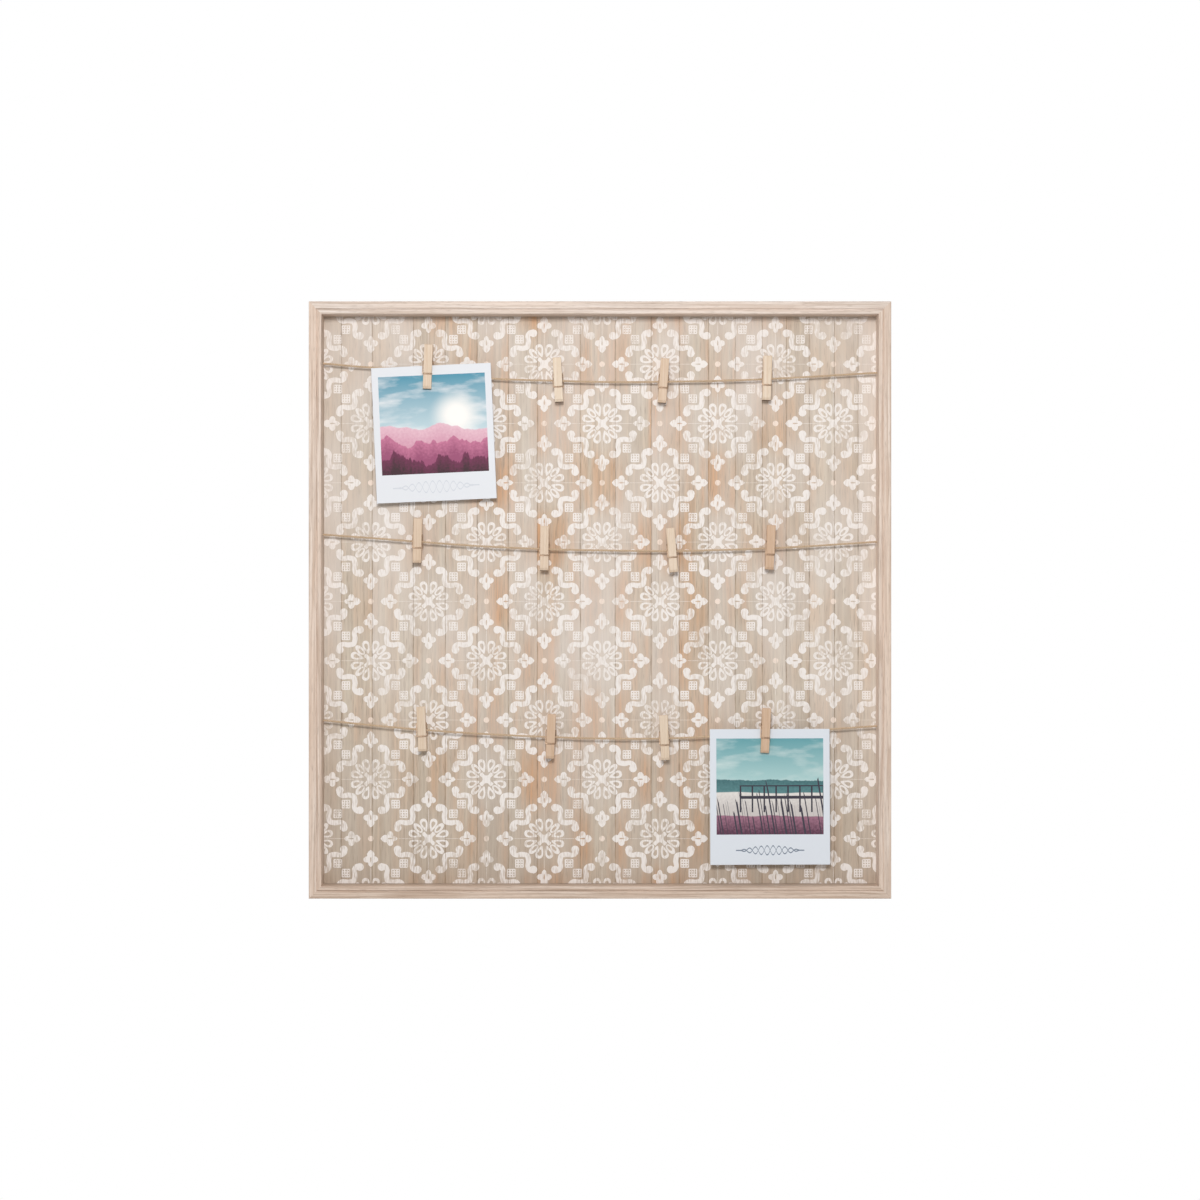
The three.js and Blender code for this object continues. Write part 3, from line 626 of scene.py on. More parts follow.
def stave_wood_colour():
    """A stave's colour: its own tone and grain, a thin wash with a haze of dry paint, dirty joints, and
    painted shade at its foot.
    """
    tree = bpy.data.node_groups.new("stave wood", "ShaderNodeTree")
    tree.interface.new_socket("Color", in_out="OUTPUT", socket_type="NodeSocketColor")
    tree.interface.new_socket("Relief", in_out="OUTPUT", socket_type="NodeSocketFloat")
    tone, half, across = [
        add(tree, "ShaderNodeAttribute", attribute_name="stave_" + name).outputs["Fac"]
        for name in ("tone", "half", "across")
    ]
    place = add(tree, "ShaderNodeTexCoord").outputs["Object"]
    other_tree = add(tree, "ShaderNodeVectorMath", {0: STAVE_SPREAD, "Scale": tone}, operation="SCALE")
    own_place = add(tree, "ShaderNodeVectorMath", {
        0: place, 1: (1 / MM,) * 3, 2: other_tree,
    }, operation="MULTIPLY_ADD")
    grain = add(tree, "ShaderNodeGroup", {"Place": own_place}, node_tree=WOOD_GRAIN)
    near = add(tree, "ShaderNodeGroup", node_tree=NEAR_MEDALLION)
    split = add(tree, "ShaderNodeSeparateXYZ", {0: place})
    height = split.outputs["Z"]
    warm_share = add(tree, "ShaderNodeMapRange", {
        "Value": near, "From Min": 0.3, "From Max": -0.5, "To Min": 0.35,
    })
    from_middle = add(tree, "ShaderNodeMath", {0: split.outputs["X"]}, operation="ABSOLUTE")
    inside = add(tree, "ShaderNodeMapRange", {
        "Value": from_middle, "From Min": WARM_WITHIN[0] * MM, "From Max": WARM_WITHIN[1] * MM,
        "To Min": 1.0, "To Max": 0.4,
    })
    warmest = add(tree, "ShaderNodeMath", {0: warm_share, 1: inside}, operation="MULTIPLY")
    warm = add(tree, "ShaderNodeMath", {0: grain.outputs["Tone"], 1: warmest}, operation="MULTIPLY")
    bands = add(tree, "ShaderNodeMapRange", {"Value": grain.outputs["Bands"], "To Min": 0.56, "To Max": 0.0})
    pores = add(tree, "ShaderNodeMath", {0: grain.outputs["Pores"], 1: 0.6}, operation="MULTIPLY")
    cloud_step = (1 / WASH_PATCH, 1 / WASH_PATCH, 0.5 / WASH_PATCH)
    cloud_place = add(tree, "ShaderNodeVectorMath", {0: own_place, 1: cloud_step}, operation="MULTIPLY")
    clouds = add(tree, "ShaderNodeTexNoise", {"Vector": cloud_place, "Scale": 1.0, "Detail": 3})
    cloudy = add(tree, "ShaderNodeMapRange", {
        "Value": clouds, "From Min": 0.35, "From Max": 0.65, "To Max": 0.68,
    })
    thickness = add(tree, "ShaderNodeMapRange", {
        "Value": height, "From Min": WASH_HEIGHTS[0] * MM, "From Max": WASH_HEIGHTS[1] * MM, "To Min": 0.25,
    })
    thin = add(tree, "ShaderNodeMath", {0: cloudy, 1: thickness}, operation="MULTIPLY")
    haze = add(tree, "ShaderNodeMapRange", {
        "Value": near, "From Min": -0.45, "From Max": 0.4, "To Max": HAZE,
    }, interpolation_type="SMOOTHSTEP")
    wash = add(tree, "ShaderNodeMath", {0: thin, 1: haze}, operation="ADD", use_clamp=True)
    # painted shade: darker towards the foot of the staves
    foot = add(tree, "ShaderNodeMapRange", {
        "Value": height, "From Min": FOOT_SHADE_HEIGHTS[0] * MM, "From Max": FOOT_SHADE_HEIGHTS[1] * MM, "To Max": 0.4,
    })
    off_middle = add(tree, "ShaderNodeMath", {0: across}, operation="ABSOLUTE")
    from_edge = add(tree, "ShaderNodeMath", {0: half, 1: off_middle}, operation="SUBTRACT")
    edge = add(tree, "ShaderNodeMapRange", {
        "Value": from_edge, "From Min": STAVE_DIRT_WIDTH, "From Max": STAVE_JOINT / 2,
    })
    lengthwise = add(tree, "ShaderNodeVectorMath", {
        0: own_place, 1: (0, 0, 1 / STAVE_DIRT_LENGTH),
    }, operation="MULTIPLY")
    patches = add(tree, "ShaderNodeTexNoise", {"Vector": lengthwise, "Scale": 1.0, "Detail": 3})
    broken = add(tree, "ShaderNodeMapRange", {
        "Value": patches, "From Min": 0.45, "From Max": 0.65, "To Max": 0.7,
    })
    dirt = add(tree, "ShaderNodeMath", {0: edge, 1: broken}, operation="MULTIPLY")
    shown = add(tree, "ShaderNodeMix", {0: tone, 6: linear("dacdbb"), 7: linear("cec1af")}, data_type="RGBA")
    coats = [
        (warm, "d8a57a"), (bands, "ad9b89"), (pores, "98826f"),
        (wash, "ded3ca"), (foot, "a59281"), (dirt, "75604e"),
    ]
    for share, colour in coats:
        shown = add(tree, "ShaderNodeMix", {0: share, 6: shown, 7: linear(colour)}, data_type="RGBA")
    add(tree, "NodeGroupOutput", {"Color": shown, "Relief": grain.outputs["Pores"]})
    return tree


STAVE_WOOD_COLOUR = stave_wood_colour()
print(len(STAVE_WOOD_COLOUR.nodes), "nodes draw the colour of the staves")

# %% Stave wood
def stave_wood():
    """Thin sawn staves, sanded and left raw: dry, open-pored and without gloss."""
    material, tree, shader = new_material("raw stave wood")
    wood = add(tree, "ShaderNodeGroup", node_tree=STAVE_WOOD_COLOUR)
    bump = add(tree, "ShaderNodeBump", {
        "Height": wood.outputs["Relief"], "Strength": 0.4, "Distance": 0.2 * MM,
    }, invert=True)
    feed(tree, shader, {
        "Base Color": wood.outputs["Color"], "Normal": bump, "Roughness": 0.8,
        "Specular IOR Level": 0.3,
    })
    return material


STAVE_WOOD = stave_wood()
print(STAVE_WOOD.name, "is ready")

# %% Staves
def stave_tree():
    """Raises each face of a row into a closed, chamfered stave with a joint on either side."""
    tree, given = new_tree("upright staves", Thickness="Float", Joint="Float", Chamfer="Float")
    size = given.outputs
    apart = add(tree, "GeometryNodeSplitEdges", {"Mesh": size["Geometry"]})
    marked = add(tree, "GeometryNodeStoreNamedAttribute", {
        "Geometry": apart, "Name": "stave_middle", "Value": add(tree, "GeometryNodeInputPosition"),
    }, data_type="FLOAT_VECTOR", domain="FACE")
    middle = add(tree, "GeometryNodeInputNamedAttribute", {"Name": "stave_middle"}, data_type="FLOAT_VECTOR")
    inward = add(tree, "ShaderNodeVectorMath", {
        0: middle, 1: add(tree, "GeometryNodeInputPosition"),
    }, operation="SUBTRACT")
    side = add(tree, "ShaderNodeVectorMath", {0: inward}, operation="SIGN")
    half_joint = add(tree, "ShaderNodeMath", {0: size["Joint"], 1: 0.5}, operation="MULTIPLY")
    joint_step = add(tree, "ShaderNodeCombineXYZ", {"X": half_joint})
    joint = add(tree, "ShaderNodeVectorMath", {0: side, 1: joint_step}, operation="MULTIPLY")
    narrowed = add(tree, "GeometryNodeSetPosition", {"Geometry": marked, "Offset": joint})
    wall = add(tree, "ShaderNodeMath", {0: size["Thickness"], 1: size["Chamfer"]}, operation="SUBTRACT")
    raised = add(tree, "GeometryNodeExtrudeMesh", {"Mesh": narrowed, "Offset Scale": wall})
    crowned = add(tree, "GeometryNodeExtrudeMesh", {
        "Mesh": raised, "Selection": raised.outputs["Top"], "Offset Scale": size["Chamfer"],
    })
    chamfer_step = add(tree, "ShaderNodeCombineXYZ", {"X": size["Chamfer"], "Z": size["Chamfer"]})
    chamfer = add(tree, "ShaderNodeVectorMath", {0: side, 1: chamfer_step}, operation="MULTIPLY")
    chamfered = add(tree, "GeometryNodeSetPosition", {
        "Geometry": crowned, "Selection": crowned.outputs["Top"], "Offset": chamfer,
    })
    backs = add(tree, "GeometryNodeFlipFaces", {"Mesh": narrowed})
    joined = add(tree, "GeometryNodeJoinGeometry")
    for part in (backs, chamfered):
        feed(tree, joined, {0: part})
    closed = add(tree, "GeometryNodeMergeByDistance", {"Geometry": joined, "Distance": 0.001 * MM})
    bare = add(tree, "GeometryNodeRemoveAttribute", {"Geometry": closed, "Name": "stave_middle"})
    end_tree(tree, bare, STAVE_WOOD)
    return tree


board_face = panel_low.y + STAVE_THICKNESS
corners = [(x, board_face, z) for x in stave_edges for z in (panel_low.z, panel_high.z)]
row_of_faces = [(2 * n, 2 * n + 2, 2 * n + 3, 2 * n + 1) for n in range(len(stave_edges) - 1)]
carrier = show("stave_row", mesh_of("stave_row", corners, row_of_faces))
stave_mesh = run_tree(
    "panel_staves", carrier, stave_tree(), Thickness=STAVE_THICKNESS * MM, Joint=STAVE_JOINT * MM,
    Chamfer=STAVE_CHAMFER * MM,
)
mark_staves(stave_mesh)
staves = show("panel_staves", stave_mesh)
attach(staves, "frame")
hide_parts("back_panel")
print("panel_staves:", len(stave_mesh.polygons), "faces")

# %% [markdown]
# ## Board behind the staves
# The staves are glued to a thin board of pressed fibre, which is all that shows from the back. It is
# one flat sheet with small chamfers, and its material carries the specks of pressed wood.

# %% Fibreboard
FIBRE_SPECK = 1.3
FIBRE_CLOUD = 78
BOARD_CHAMFER = 0.3


def fibreboard():
    """Pressed wood fibre: an even brown with pale and dark specks, matt on its rear face."""
    material, tree, shader = new_material("pressed fibreboard")
    place = add(tree, "ShaderNodeTexCoord").outputs["Object"]
    fine, broad = 1 / (FIBRE_SPECK * MM), 1 / (FIBRE_CLOUD * MM)
    specks = add(tree, "ShaderNodeTexNoise", {"Vector": place, "Scale": fine, "Detail": 4})
    clouds = add(tree, "ShaderNodeTexNoise", {"Vector": place, "Scale": broad, "Detail": 2})
    share = add(tree, "ShaderNodeMapRange", {"Value": specks, "From Min": 0.35, "From Max": 0.65})
    speckled = add(tree, "ShaderNodeMix", {
        0: share, 6: linear("957651"), 7: linear("b99a73"),
    }, data_type="RGBA")
    clouded = add(tree, "ShaderNodeMix", {0: clouds, 6: speckled, 7: linear("ab8b64")}, data_type="RGBA")
    bump = add(tree, "ShaderNodeBump", {"Height": specks, "Strength": 0.3, "Distance": 0.1 * MM})
    feed(tree, shader, {"Base Color": clouded, "Normal": bump, "Roughness": 0.75})
    return material


board_low = Vector((panel_low.x, board_face, panel_low.z)) * MM
board_size = panel_high * MM - board_low
board_middle = panel_high * MM - board_size / 2
work = bmesh.new()
bmesh.ops.create_cube(work, size=1)
bmesh.ops.transform(work, matrix=Matrix.LocRotScale(board_middle, None, board_size), verts=work.verts)
bmesh.ops.bevel(work, geom=work.edges[:], offset=BOARD_CHAMFER * MM, segments=2, profile=0.5, affect="EDGES")
board = show("panel_board", finish_bmesh("panel_board", work))
board.data.materials.append(fibreboard())
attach(board, "frame")
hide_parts("back_panel")
print("panel_board:", [round(side / MM, 1) for side in board_size], "mm")

# %% [markdown]
# ## Medallion
# The ornament is a traditional tile medallion, brushed on through a stencil: a rosette of looped
# petals and leaves about a four-armed core, four scrolled brackets on the diagonals, pierced tiles
# outside their corners and a lily on a hair-thin stem on each axis. A stencil needs bridges, so the
# medallion is a set of islands that never touch. Those of one quarter are drawn, as rings, strokes of
# changing width and ovals, and then turned into all four.

# %% Islands of the medallion
def teardrop(start, end, half_width, points):
    """A closed outline along +Y that is pointed at its start and round at its end."""
    outline = []
    for number in range(points):
        angle = 2 * math.pi * number / points
        share = (1 - math.cos(angle)) / 2
        fullness = 0.35 + 0.85 * share
        outline.append((half_width * math.sin(angle) * fullness, start + (end - start) * share))
    return outline


def oval(y, half_width, half_height, points):
    """An oval outline about a place on the upward axis."""
    ring = [2 * math.pi * number / points for number in range(points)]
    return [(half_width * math.cos(a), y + half_height * math.sin(a)) for a in ring]


def square(x, y, half):
    """A square outline."""
    return [(x - half, y - half), (x + half, y - half), (x + half, y + half), (x - half, y + half)]


def stroke(middle, half_widths, steps):
    """The outline of a brush stroke along chosen points, with its own half width at each and round ends."""
    line = smooth_line([Vector((x, y, width)) for (x, y), width in zip(middle, half_widths)], steps)
    right, left = [], []
    for before, knot, after in zip([line[0], *line], line, [*line[1:], line[-1]]):
        along = (after.xy - before.xy).normalized()
        side = Vector((along.y, -along.x)) * knot.z
        right.append(tuple(knot.xy + side))
        left.append(tuple(knot.xy - side))
    caps = []
    for end, inner in ((line[-1], line[-2]), (line[0], line[1])):
        out = (end.xy - inner.xy).normalized()
        across = Vector((out.y, -out.x))
        angles = [math.pi * number / 6 for number in range(1, 6)]
        caps.append([tuple(end.xy + end.z * (across * math.cos(a) + out * math.sin(a))) for a in angles])
    return right + caps[0] + left[::-1] + caps[1]


# %% A quarter of the medallion
LOOP_POINTS = 18
HOLE_POINTS = 12
LOOP = (7.4, 21.2, 4.5)  # the radii of its pointed and its round end, and its half width
LOOP_HOLE = (11.6, 18.2, 2.2)
LOOP_TURN = math.radians(17.5)
LEAF = (15.2, 3.3, 6.2)  # the radius of its middle, its half width and half length
LEAF_HOLE = (14, 1.3, 3.3)
LILY_OUTLINE = [
    (0, 48.8), (2.2, 47.2), (3.9, 44.4), (3.6, 42.5), (5.2, 41.9), (7.2, 40.2), (7.2, 37.6), (5, 36),
    (2.9, 35.8), (2.2, 33.4), (0, 31.2),
]
LILY_SLIT = (35.6, 41.4, 0.8)
STEM = (0.16, 10, 30.4)  # its half width, and the radii of its ends
SCROLL = [(11, 31.4), (14.7, 31.2), (16.8, 28.2), (16, 23.3), (16.4, 19.7), (17.2, 17.2)]
SCROLL_WIDTHS = [4, 3, 2.4, 2.6, 2.6, 2.5]
SCROLL_STEPS = 4
TILE_MIDDLE = 25.2
TILE_HALF = 4.4
TILE_CORNER = 0.7
PINHOLE_STEP = 2.6
PINHOLE_HALF = 0.6


def turned(island, angle):
    """An island's outlines turned clockwise about the middle of the medallion."""
    along, aside = math.cos(angle), math.sin(angle)
    return [[(x * along + y * aside, y * along - x * aside) for x, y in outline] for outline in island]


def lily():
    """A lily on the upward axis, slit along its middle, and its stem."""
    right_side = [tuple(point.xy) for point in smooth_line([Vector((x, y, 0)) for x, y in LILY_OUTLINE], 3)]
    left_side = [(-x, y) for x, y in right_side[-2:0:-1]]
    half_width, low, high = STEM
    stem = [(-half_width, low), (half_width, low), (half_width, high), (-half_width, high)]
    return [[right_side + left_side, teardrop(*LILY_SLIT, HOLE_POINTS)], [stem]]


def tile():
    """A square tile on the diagonal with blunt corners, pierced by three rows of pinholes."""
    outline = []
    near = TILE_HALF - TILE_CORNER
    for x, y in ((-1, -1), (1, -1), (1, 1), (-1, 1)):
        blunt = [(x * TILE_HALF, y * near), (x * near, y * TILE_HALF)]
        outline += blunt if x * y > 0 else blunt[::-1]
    steps = [TILE_MIDDLE + PINHOLE_STEP * number for number in (-1, 0, 1)]
    outer = [(TILE_MIDDLE + x, TILE_MIDDLE + y) for x, y in outline]
    return [outer] + [square(x, y, PINHOLE_HALF) for x in steps for y in steps]


def quarter():
    """The islands on and beside the upward axis, and on the diagonal to its right."""
    loop = [teardrop(*LOOP, LOOP_POINTS), teardrop(*LOOP_HOLE, HOLE_POINTS)]
    leaf = [oval(*LEAF, LOOP_POINTS), oval(*LEAF_HOLE, HOLE_POINTS)]
    scroll = SCROLL + [(y, x) for x, y in SCROLL[-2::-1]]
    bracket = stroke(scroll, SCROLL_WIDTHS + SCROLL_WIDTHS[-2::-1], SCROLL_STEPS)
    petals = [turned(loop, LOOP_TURN), turned(loop, -LOOP_TURN), turned(leaf, math.radians(45))]
    return [*lily(), tile(), [bracket], *petals]


# %% One medallion
CORE_TURNS = [0, 22.5, 30, 45, 60, 67.5]  # in degrees, for one quarter
CORE_REACH = [3.8, 4.6, 8.3, 8.7, 8.3, 4.6]
LONE_SPOT = 2.9


def medallion():
    """All the islands of one medallion, flat on the panel's face, with the spot above it."""
    arm = list(zip(map(math.radians, CORE_TURNS), CORE_REACH))
    islands = [[oval(ROW_STEP, LONE_SPOT, LONE_SPOT, HOLE_POINTS)]]
    core = []
    for number in range(4):
        angle = number * math.pi / 2
        core += [(reach * math.sin(angle + turn), reach * math.cos(angle + turn)) for turn, reach in arm]
        islands += [turned(island, angle) for island in quarter()]
    islands.append([core])
    points, faces = [], []
    for island in islands:
        start = len(points)
        outlines = [[Vector((x, 0, y)) for x, y in outline] for outline in island]
        points += [point for outline in outlines for point in outline]
        faces += [tuple(start + corner for corner in face) for face in tessellate_polygon(outlines)]
    mesh = mesh_of("medallion", points, faces)
    backwards = [face.index for face in mesh.polygons if face.normal.y > 0]
    for number in backwards:
        mesh.polygons[number].flip()
    return mesh


medallion_mesh = medallion()
print("one medallion:", len(medallion_mesh.polygons), "faces")

# %% [markdown]
# ## Stencil paint over the whole panel
# Medallions stand in rows, each row shifted by half a step, so Geometry Nodes place them by counting.
# The sheet of flat islands is then cut off behind the rails and at every joint between staves, and
# raised to the thickness of dry paint, in a left and a right half to keep each mesh light. Where the
# brush ran dry the wood shows through along its grain, so the paint mixes in the same stave colour, at
# the same place, that lies under it.

# %% Chalk paint
PAINT_WEAR_WIDTH = 1.2
PAINT_WEAR_STRETCH = 6
PAINT_PATCH = 45
SPOT_NEARNESS = -0.96  # to the medallions, below which only the lone spots lie


def chalk_paint():
    """Chalky white paint, dabbed on dry: matt, worn through along the grain, warmer on the lone spots."""
    material, tree, shader = new_material("worn chalk paint")
    wood = add(tree, "ShaderNodeGroup", node_tree=STAVE_WOOD_COLOUR)
    place = add(tree, "ShaderNodeTexCoord").outputs["Object"]
    fine = 1 / (PAINT_WEAR_WIDTH * MM)
    drawn = add(tree, "ShaderNodeVectorMath", {
        0: place, 1: (fine, fine, fine / PAINT_WEAR_STRETCH),
    }, operation="MULTIPLY")
    streaks = add(tree, "ShaderNodeTexNoise", {"Vector": drawn, "Scale": 1.0, "Detail": 3})
    broad = 1 / (PAINT_PATCH * MM)
    patches = add(tree, "ShaderNodeTexNoise", {"Vector": place, "Scale": broad, "Detail": 2})
    both = add(tree, "ShaderNodeMath", {0: patches, 1: 0.6, 2: streaks}, operation="MULTIPLY_ADD")
    worn = add(tree, "ShaderNodeMapRange", {
        "Value": both, "From Min": 0.7, "From Max": 1.02, "To Min": 0.02, "To Max": 0.72,
    }, interpolation_type="SMOOTHSTEP")
    near = add(tree, "ShaderNodeGroup", node_tree=NEAR_MEDALLION)
    between = add(tree, "ShaderNodeMath", {0: near, 1: SPOT_NEARNESS}, operation="LESS_THAN")
    chalk = add(tree, "ShaderNodeMix", {
        0: between, 6: linear("f4ede8"), 7: linear("f4e2d4"),
    }, data_type="RGBA")
    shown = add(tree, "ShaderNodeMix", {0: worn, 6: chalk, 7: wood.outputs["Color"]}, data_type="RGBA")
    bump = add(tree, "ShaderNodeBump", {
        "Height": streaks, "Strength": 0.35, "Distance": 0.15 * MM,
    }, invert=True)
    feed(tree, shader, {"Base Color": shown, "Normal": bump, "Roughness": 0.85, "Specular IOR Level": 0.3})
    return material


CHALK_PAINT = chalk_paint()
print(f"{CHALK_PAINT.name}: streaks of {PAINT_WEAR_WIDTH} mm, in patches of {PAINT_PATCH} mm")

# %% Rows of medallions
def column_and_row(tree, columns):
    """The column and the row of each point of a grid, counted from its index."""
    index = add(tree, "GeometryNodeInputIndex")
    column = add(tree, "ShaderNodeMath", {0: index, 1: columns}, operation="MODULO")
    share = add(tree, "ShaderNodeMath", {0: index, 1: columns}, operation="DIVIDE")
    return column, add(tree, "ShaderNodeMath", {0: share}, operation="FLOOR")


COLUMNS = 7
ROWS_OF_MEDALLIONS = 11
ROWS_BELOW_CENTRE = 4


def medallion_tree():
    """Copies what it is given over a grid whose every other row is shifted by half a step."""
    tree, given = new_tree(
        "rows of medallions", Columns="Int", Count="Int", Period="Float", Step="Float", Start="Vector",
    )
    size = given.outputs
    column, row = column_and_row(tree, size["Columns"])
    odd = add(tree, "ShaderNodeMath", {0: row, 1: 2.0}, operation="MODULO")
    shifted = add(tree, "ShaderNodeMath", {0: odd, 1: 0.5, 2: column}, operation="MULTIPLY_ADD")
    x = add(tree, "ShaderNodeMath", {0: shifted, 1: size["Period"]}, operation="MULTIPLY")
    z = add(tree, "ShaderNodeMath", {0: row, 1: size["Step"]}, operation="MULTIPLY")
    step = add(tree, "ShaderNodeCombineXYZ", {"X": x, "Z": z})
    place = add(tree, "ShaderNodeVectorMath", {0: size["Start"], 1: step}, operation="ADD")
    points = add(tree, "GeometryNodePoints", {"Count": size["Count"], "Position": place})
    copies = add(tree, "GeometryNodeInstanceOnPoints", {"Points": points, "Instance": size["Geometry"]})
    end_tree(tree, copies, CHALK_PAINT)
    return tree


centre = Vector((MEDALLION_CENTRE[0], panel_low.y, MEDALLION_CENTRE[1]))
grid_start = centre - Vector((COLUMNS // 2 * PERIOD, 0, ROWS_BELOW_CENTRE * ROW_STEP))
flat_mesh = run_tree(
    "stencil_flat", show("medallion", medallion_mesh), medallion_tree(), Columns=COLUMNS,
    Count=COLUMNS * ROWS_OF_MEDALLIONS, Period=PERIOD * MM, Step=ROW_STEP * MM, Start=grid_start * MM,
)
print(len(flat_mesh.polygons), "flat faces before the cuts")

# %% Film of paint
PAINT_THICKNESS = 0.06
PAINT_UNDER_RAIL = 3.0
PAINT_FROM_END = 2.0  # of the staves, above and below


def cut(work, place, direction, keep_behind=False):
    """Cuts a bmesh with a plane through a place in millimetres, and may drop what lies in front of it."""
    bmesh.ops.bisect_plane(
        work, geom=work.verts[:] + work.edges[:] + work.faces[:], dist=1e-8, plane_co=Vector(place) * MM,
        plane_no=direction, clear_outer=keep_behind,
    )


work = bmesh.new()
work.from_mesh(flat_mesh)
paint_side = INNER_WALL / MM + PAINT_UNDER_RAIL
for direction in ((1, 0, 0), (-1, 0, 0)):
    cut(work, Vector(direction) * paint_side, direction, keep_behind=True)
for height, up in ((panel_low.z + PAINT_FROM_END, -1), (panel_high.z - PAINT_FROM_END, 1)):
    cut(work, (0, 0, height), (0, 0, up), keep_behind=True)
for seam in STAVE_SEAMS:
    for side in (-1, 1):
        cut(work, (seam + side * STAVE_JOINT / 2, 0, 0), (1, 0, 0))
in_joints = [
    face for face in work.faces
    if min(abs(face.calc_center_median().x / MM - seam) for seam in STAVE_SEAMS) < STAVE_JOINT / 2
]
bmesh.ops.delete(work, geom=in_joints, context="FACES")
middle_seam = min(STAVE_SEAMS, key=abs)
for half, side in (("left", -1), ("right", 1)):
    film = work.copy()
    elsewhere = [face for face in film.faces if side * (face.calc_center_median().x / MM - middle_seam) < 0]
    bmesh.ops.delete(film, geom=elsewhere, context="FACES")
    raised = bmesh.ops.extrude_face_region(film, geom=film.faces[:], use_keep_orig=True)
    raised_points = [item for item in raised["geom"] if isinstance(item, bmesh.types.BMVert)]
    bmesh.ops.translate(film, vec=(0, -PAINT_THICKNESS * MM, 0), verts=raised_points)
    paint_mesh = finish_bmesh("stencil_paint_" + half, film)
    paint_mesh.materials.append(CHALK_PAINT)
    mark_staves(paint_mesh)
    paint = show(paint_mesh.name, paint_mesh)
    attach(paint, "frame")
    paint_mesh.calc_loop_triangles()
    print(paint.name, len(paint_mesh.loop_triangles), "triangles")
work.free()

# %% [markdown]
# ## Pegs
# A spring peg is two like halves of birch, face to face, with a coil of steel wire between them. The
# wire lies across a groove in each half and pulls the jaws together about the coil. The CAD halves have
# coarse arcs and sharp corners. Here each half is drawn again from the same sizes, with round arcs and
# the soft corners that tumbling in a drum gives. Each peg's place and tilt come from its hinge in the
# model.

# %% Peg sizes
PEG_WIDTH = 8.5
HANDLE_LENGTH = 18
COIL_ABOVE_LINE = 6.0
GROOVE_BELOW_LINE = 5.8
JAW_LENGTH = 15.2
HALF_THICKNESS = 4.4
LINE_HOLE_RADIUS = 2.6
NOTCH_RADIUS = 2.6
HANDLE_TAPER = math.radians(7.5)
HANDLE_BEVEL = 0.5
JAW_BEVEL = 1.3
MOUTH_FLARE = 0.7
MOUTH_LENGTH = 2.4
WIRE_RADIUS = 0.45
WIRE_FIT = 0.3
PEG_CORNER = 0.35
ARC_STEPS = 9
JAW_TIP = -(GROOVE_BELOW_LINE + JAW_LENGTH)
SHADED_END_GRAIN = 0.5  # this much of each jaw tip is end grain, darkened partly as end grain and partly as painted shade
TUMBLED_ANGLE = math.radians(25)  # blunter edges than this stay as they are
print(f"a peg is {COIL_ABOVE_LINE + HANDLE_LENGTH - JAW_TIP:.1f} mm long")

# %% One half of a peg
def arc(x, y, radius, start, end):
    """Points along an arc, from one angle in degrees to another."""
    angles = [math.radians(start + (end - start) * step / ARC_STEPS) for step in range(ARC_STEPS + 1)]
    return [(x + radius * math.cos(angle), y + radius * math.sin(angle)) for angle in angles]


def half_outline():
    """A half's side view: the distance from its inner face, and the height over the line hole."""
    handle_end = COIL_ABOVE_LINE + HANDLE_LENGTH
    return [
        (MOUTH_FLARE, JAW_TIP), (HALF_THICKNESS - JAW_BEVEL, JAW_TIP),
        (HALF_THICKNESS, JAW_TIP + 2 * JAW_BEVEL),
        *arc(HALF_THICKNESS, -GROOVE_BELOW_LINE, WIRE_RADIUS + WIRE_FIT, 270, 90),
        (HALF_THICKNESS, handle_end - HANDLE_BEVEL), (HALF_THICKNESS - HANDLE_BEVEL, handle_end),
        (HANDLE_LENGTH * math.tan(HANDLE_TAPER), handle_end),
        *arc(0, COIL_ABOVE_LINE, NOTCH_RADIUS, 90 - math.degrees(HANDLE_TAPER), -90),
        *arc(0, 0, LINE_HOLE_RADIUS, 90, -90),
        (0, JAW_TIP + MOUTH_LENGTH),
    ]


def half_mesh():
    """One half of a peg, lying behind its inner face, with tumbled corners on both sides."""
    outline = half_outline()
    count = len(outline)
    points = [(side * PEG_WIDTH / 2, depth, height) for side in (-1, 1) for depth, height in outline]
    faces = [tuple(range(count)), tuple(range(2 * count - 1, count - 1, -1))]
    faces += [(n, count + n, count + (n + 1) % count, (n + 1) % count) for n in range(count)]
    work = bmesh.new()
    work.from_mesh(mesh_of("peg_half", points, faces))
    bmesh.ops.recalc_face_normals(work, faces=work.faces)
    rims = [edge for edge in work.edges if any(len(face.verts) == count for face in edge.link_faces)]
    corners = [
        edge for edge in work.edges
        if edge not in rims and edge.is_convex and edge.calc_face_angle() > TUMBLED_ANGLE
    ]
    tumbled = bmesh.ops.bevel(
        work, geom=rims + corners, offset=PEG_CORNER * MM, segments=2, profile=0.5, affect="EDGES",
        clamp_overlap=True,
    )
    for face in tumbled["faces"]:
        face.smooth = True
    bmesh.ops.triangulate(work, faces=[face for face in work.faces if len(face.verts) > 4])
    mesh = finish_bmesh("peg_half", work)
    # painted shade: marks the jaw tips, whose end grain is darkened
    sawn = mesh.attributes.new("shaded_end_grain", "FLOAT", "FACE")
    for face in mesh.polygons:
        sawn.data[face.index].value = float(face.center.z / MM < JAW_TIP + SHADED_END_GRAIN)
    return mesh


HALF_MESH = half_mesh()
print("one peg half:", len(HALF_MESH.polygons), "faces")

# %% Birch and spring wire
BIRCH_GRAIN = 1.8  # times as fine as the grain of the staves
BIRCH_SPREAD = (310, 0, 570)  # cream and orange pegs lie this far apart in the grain


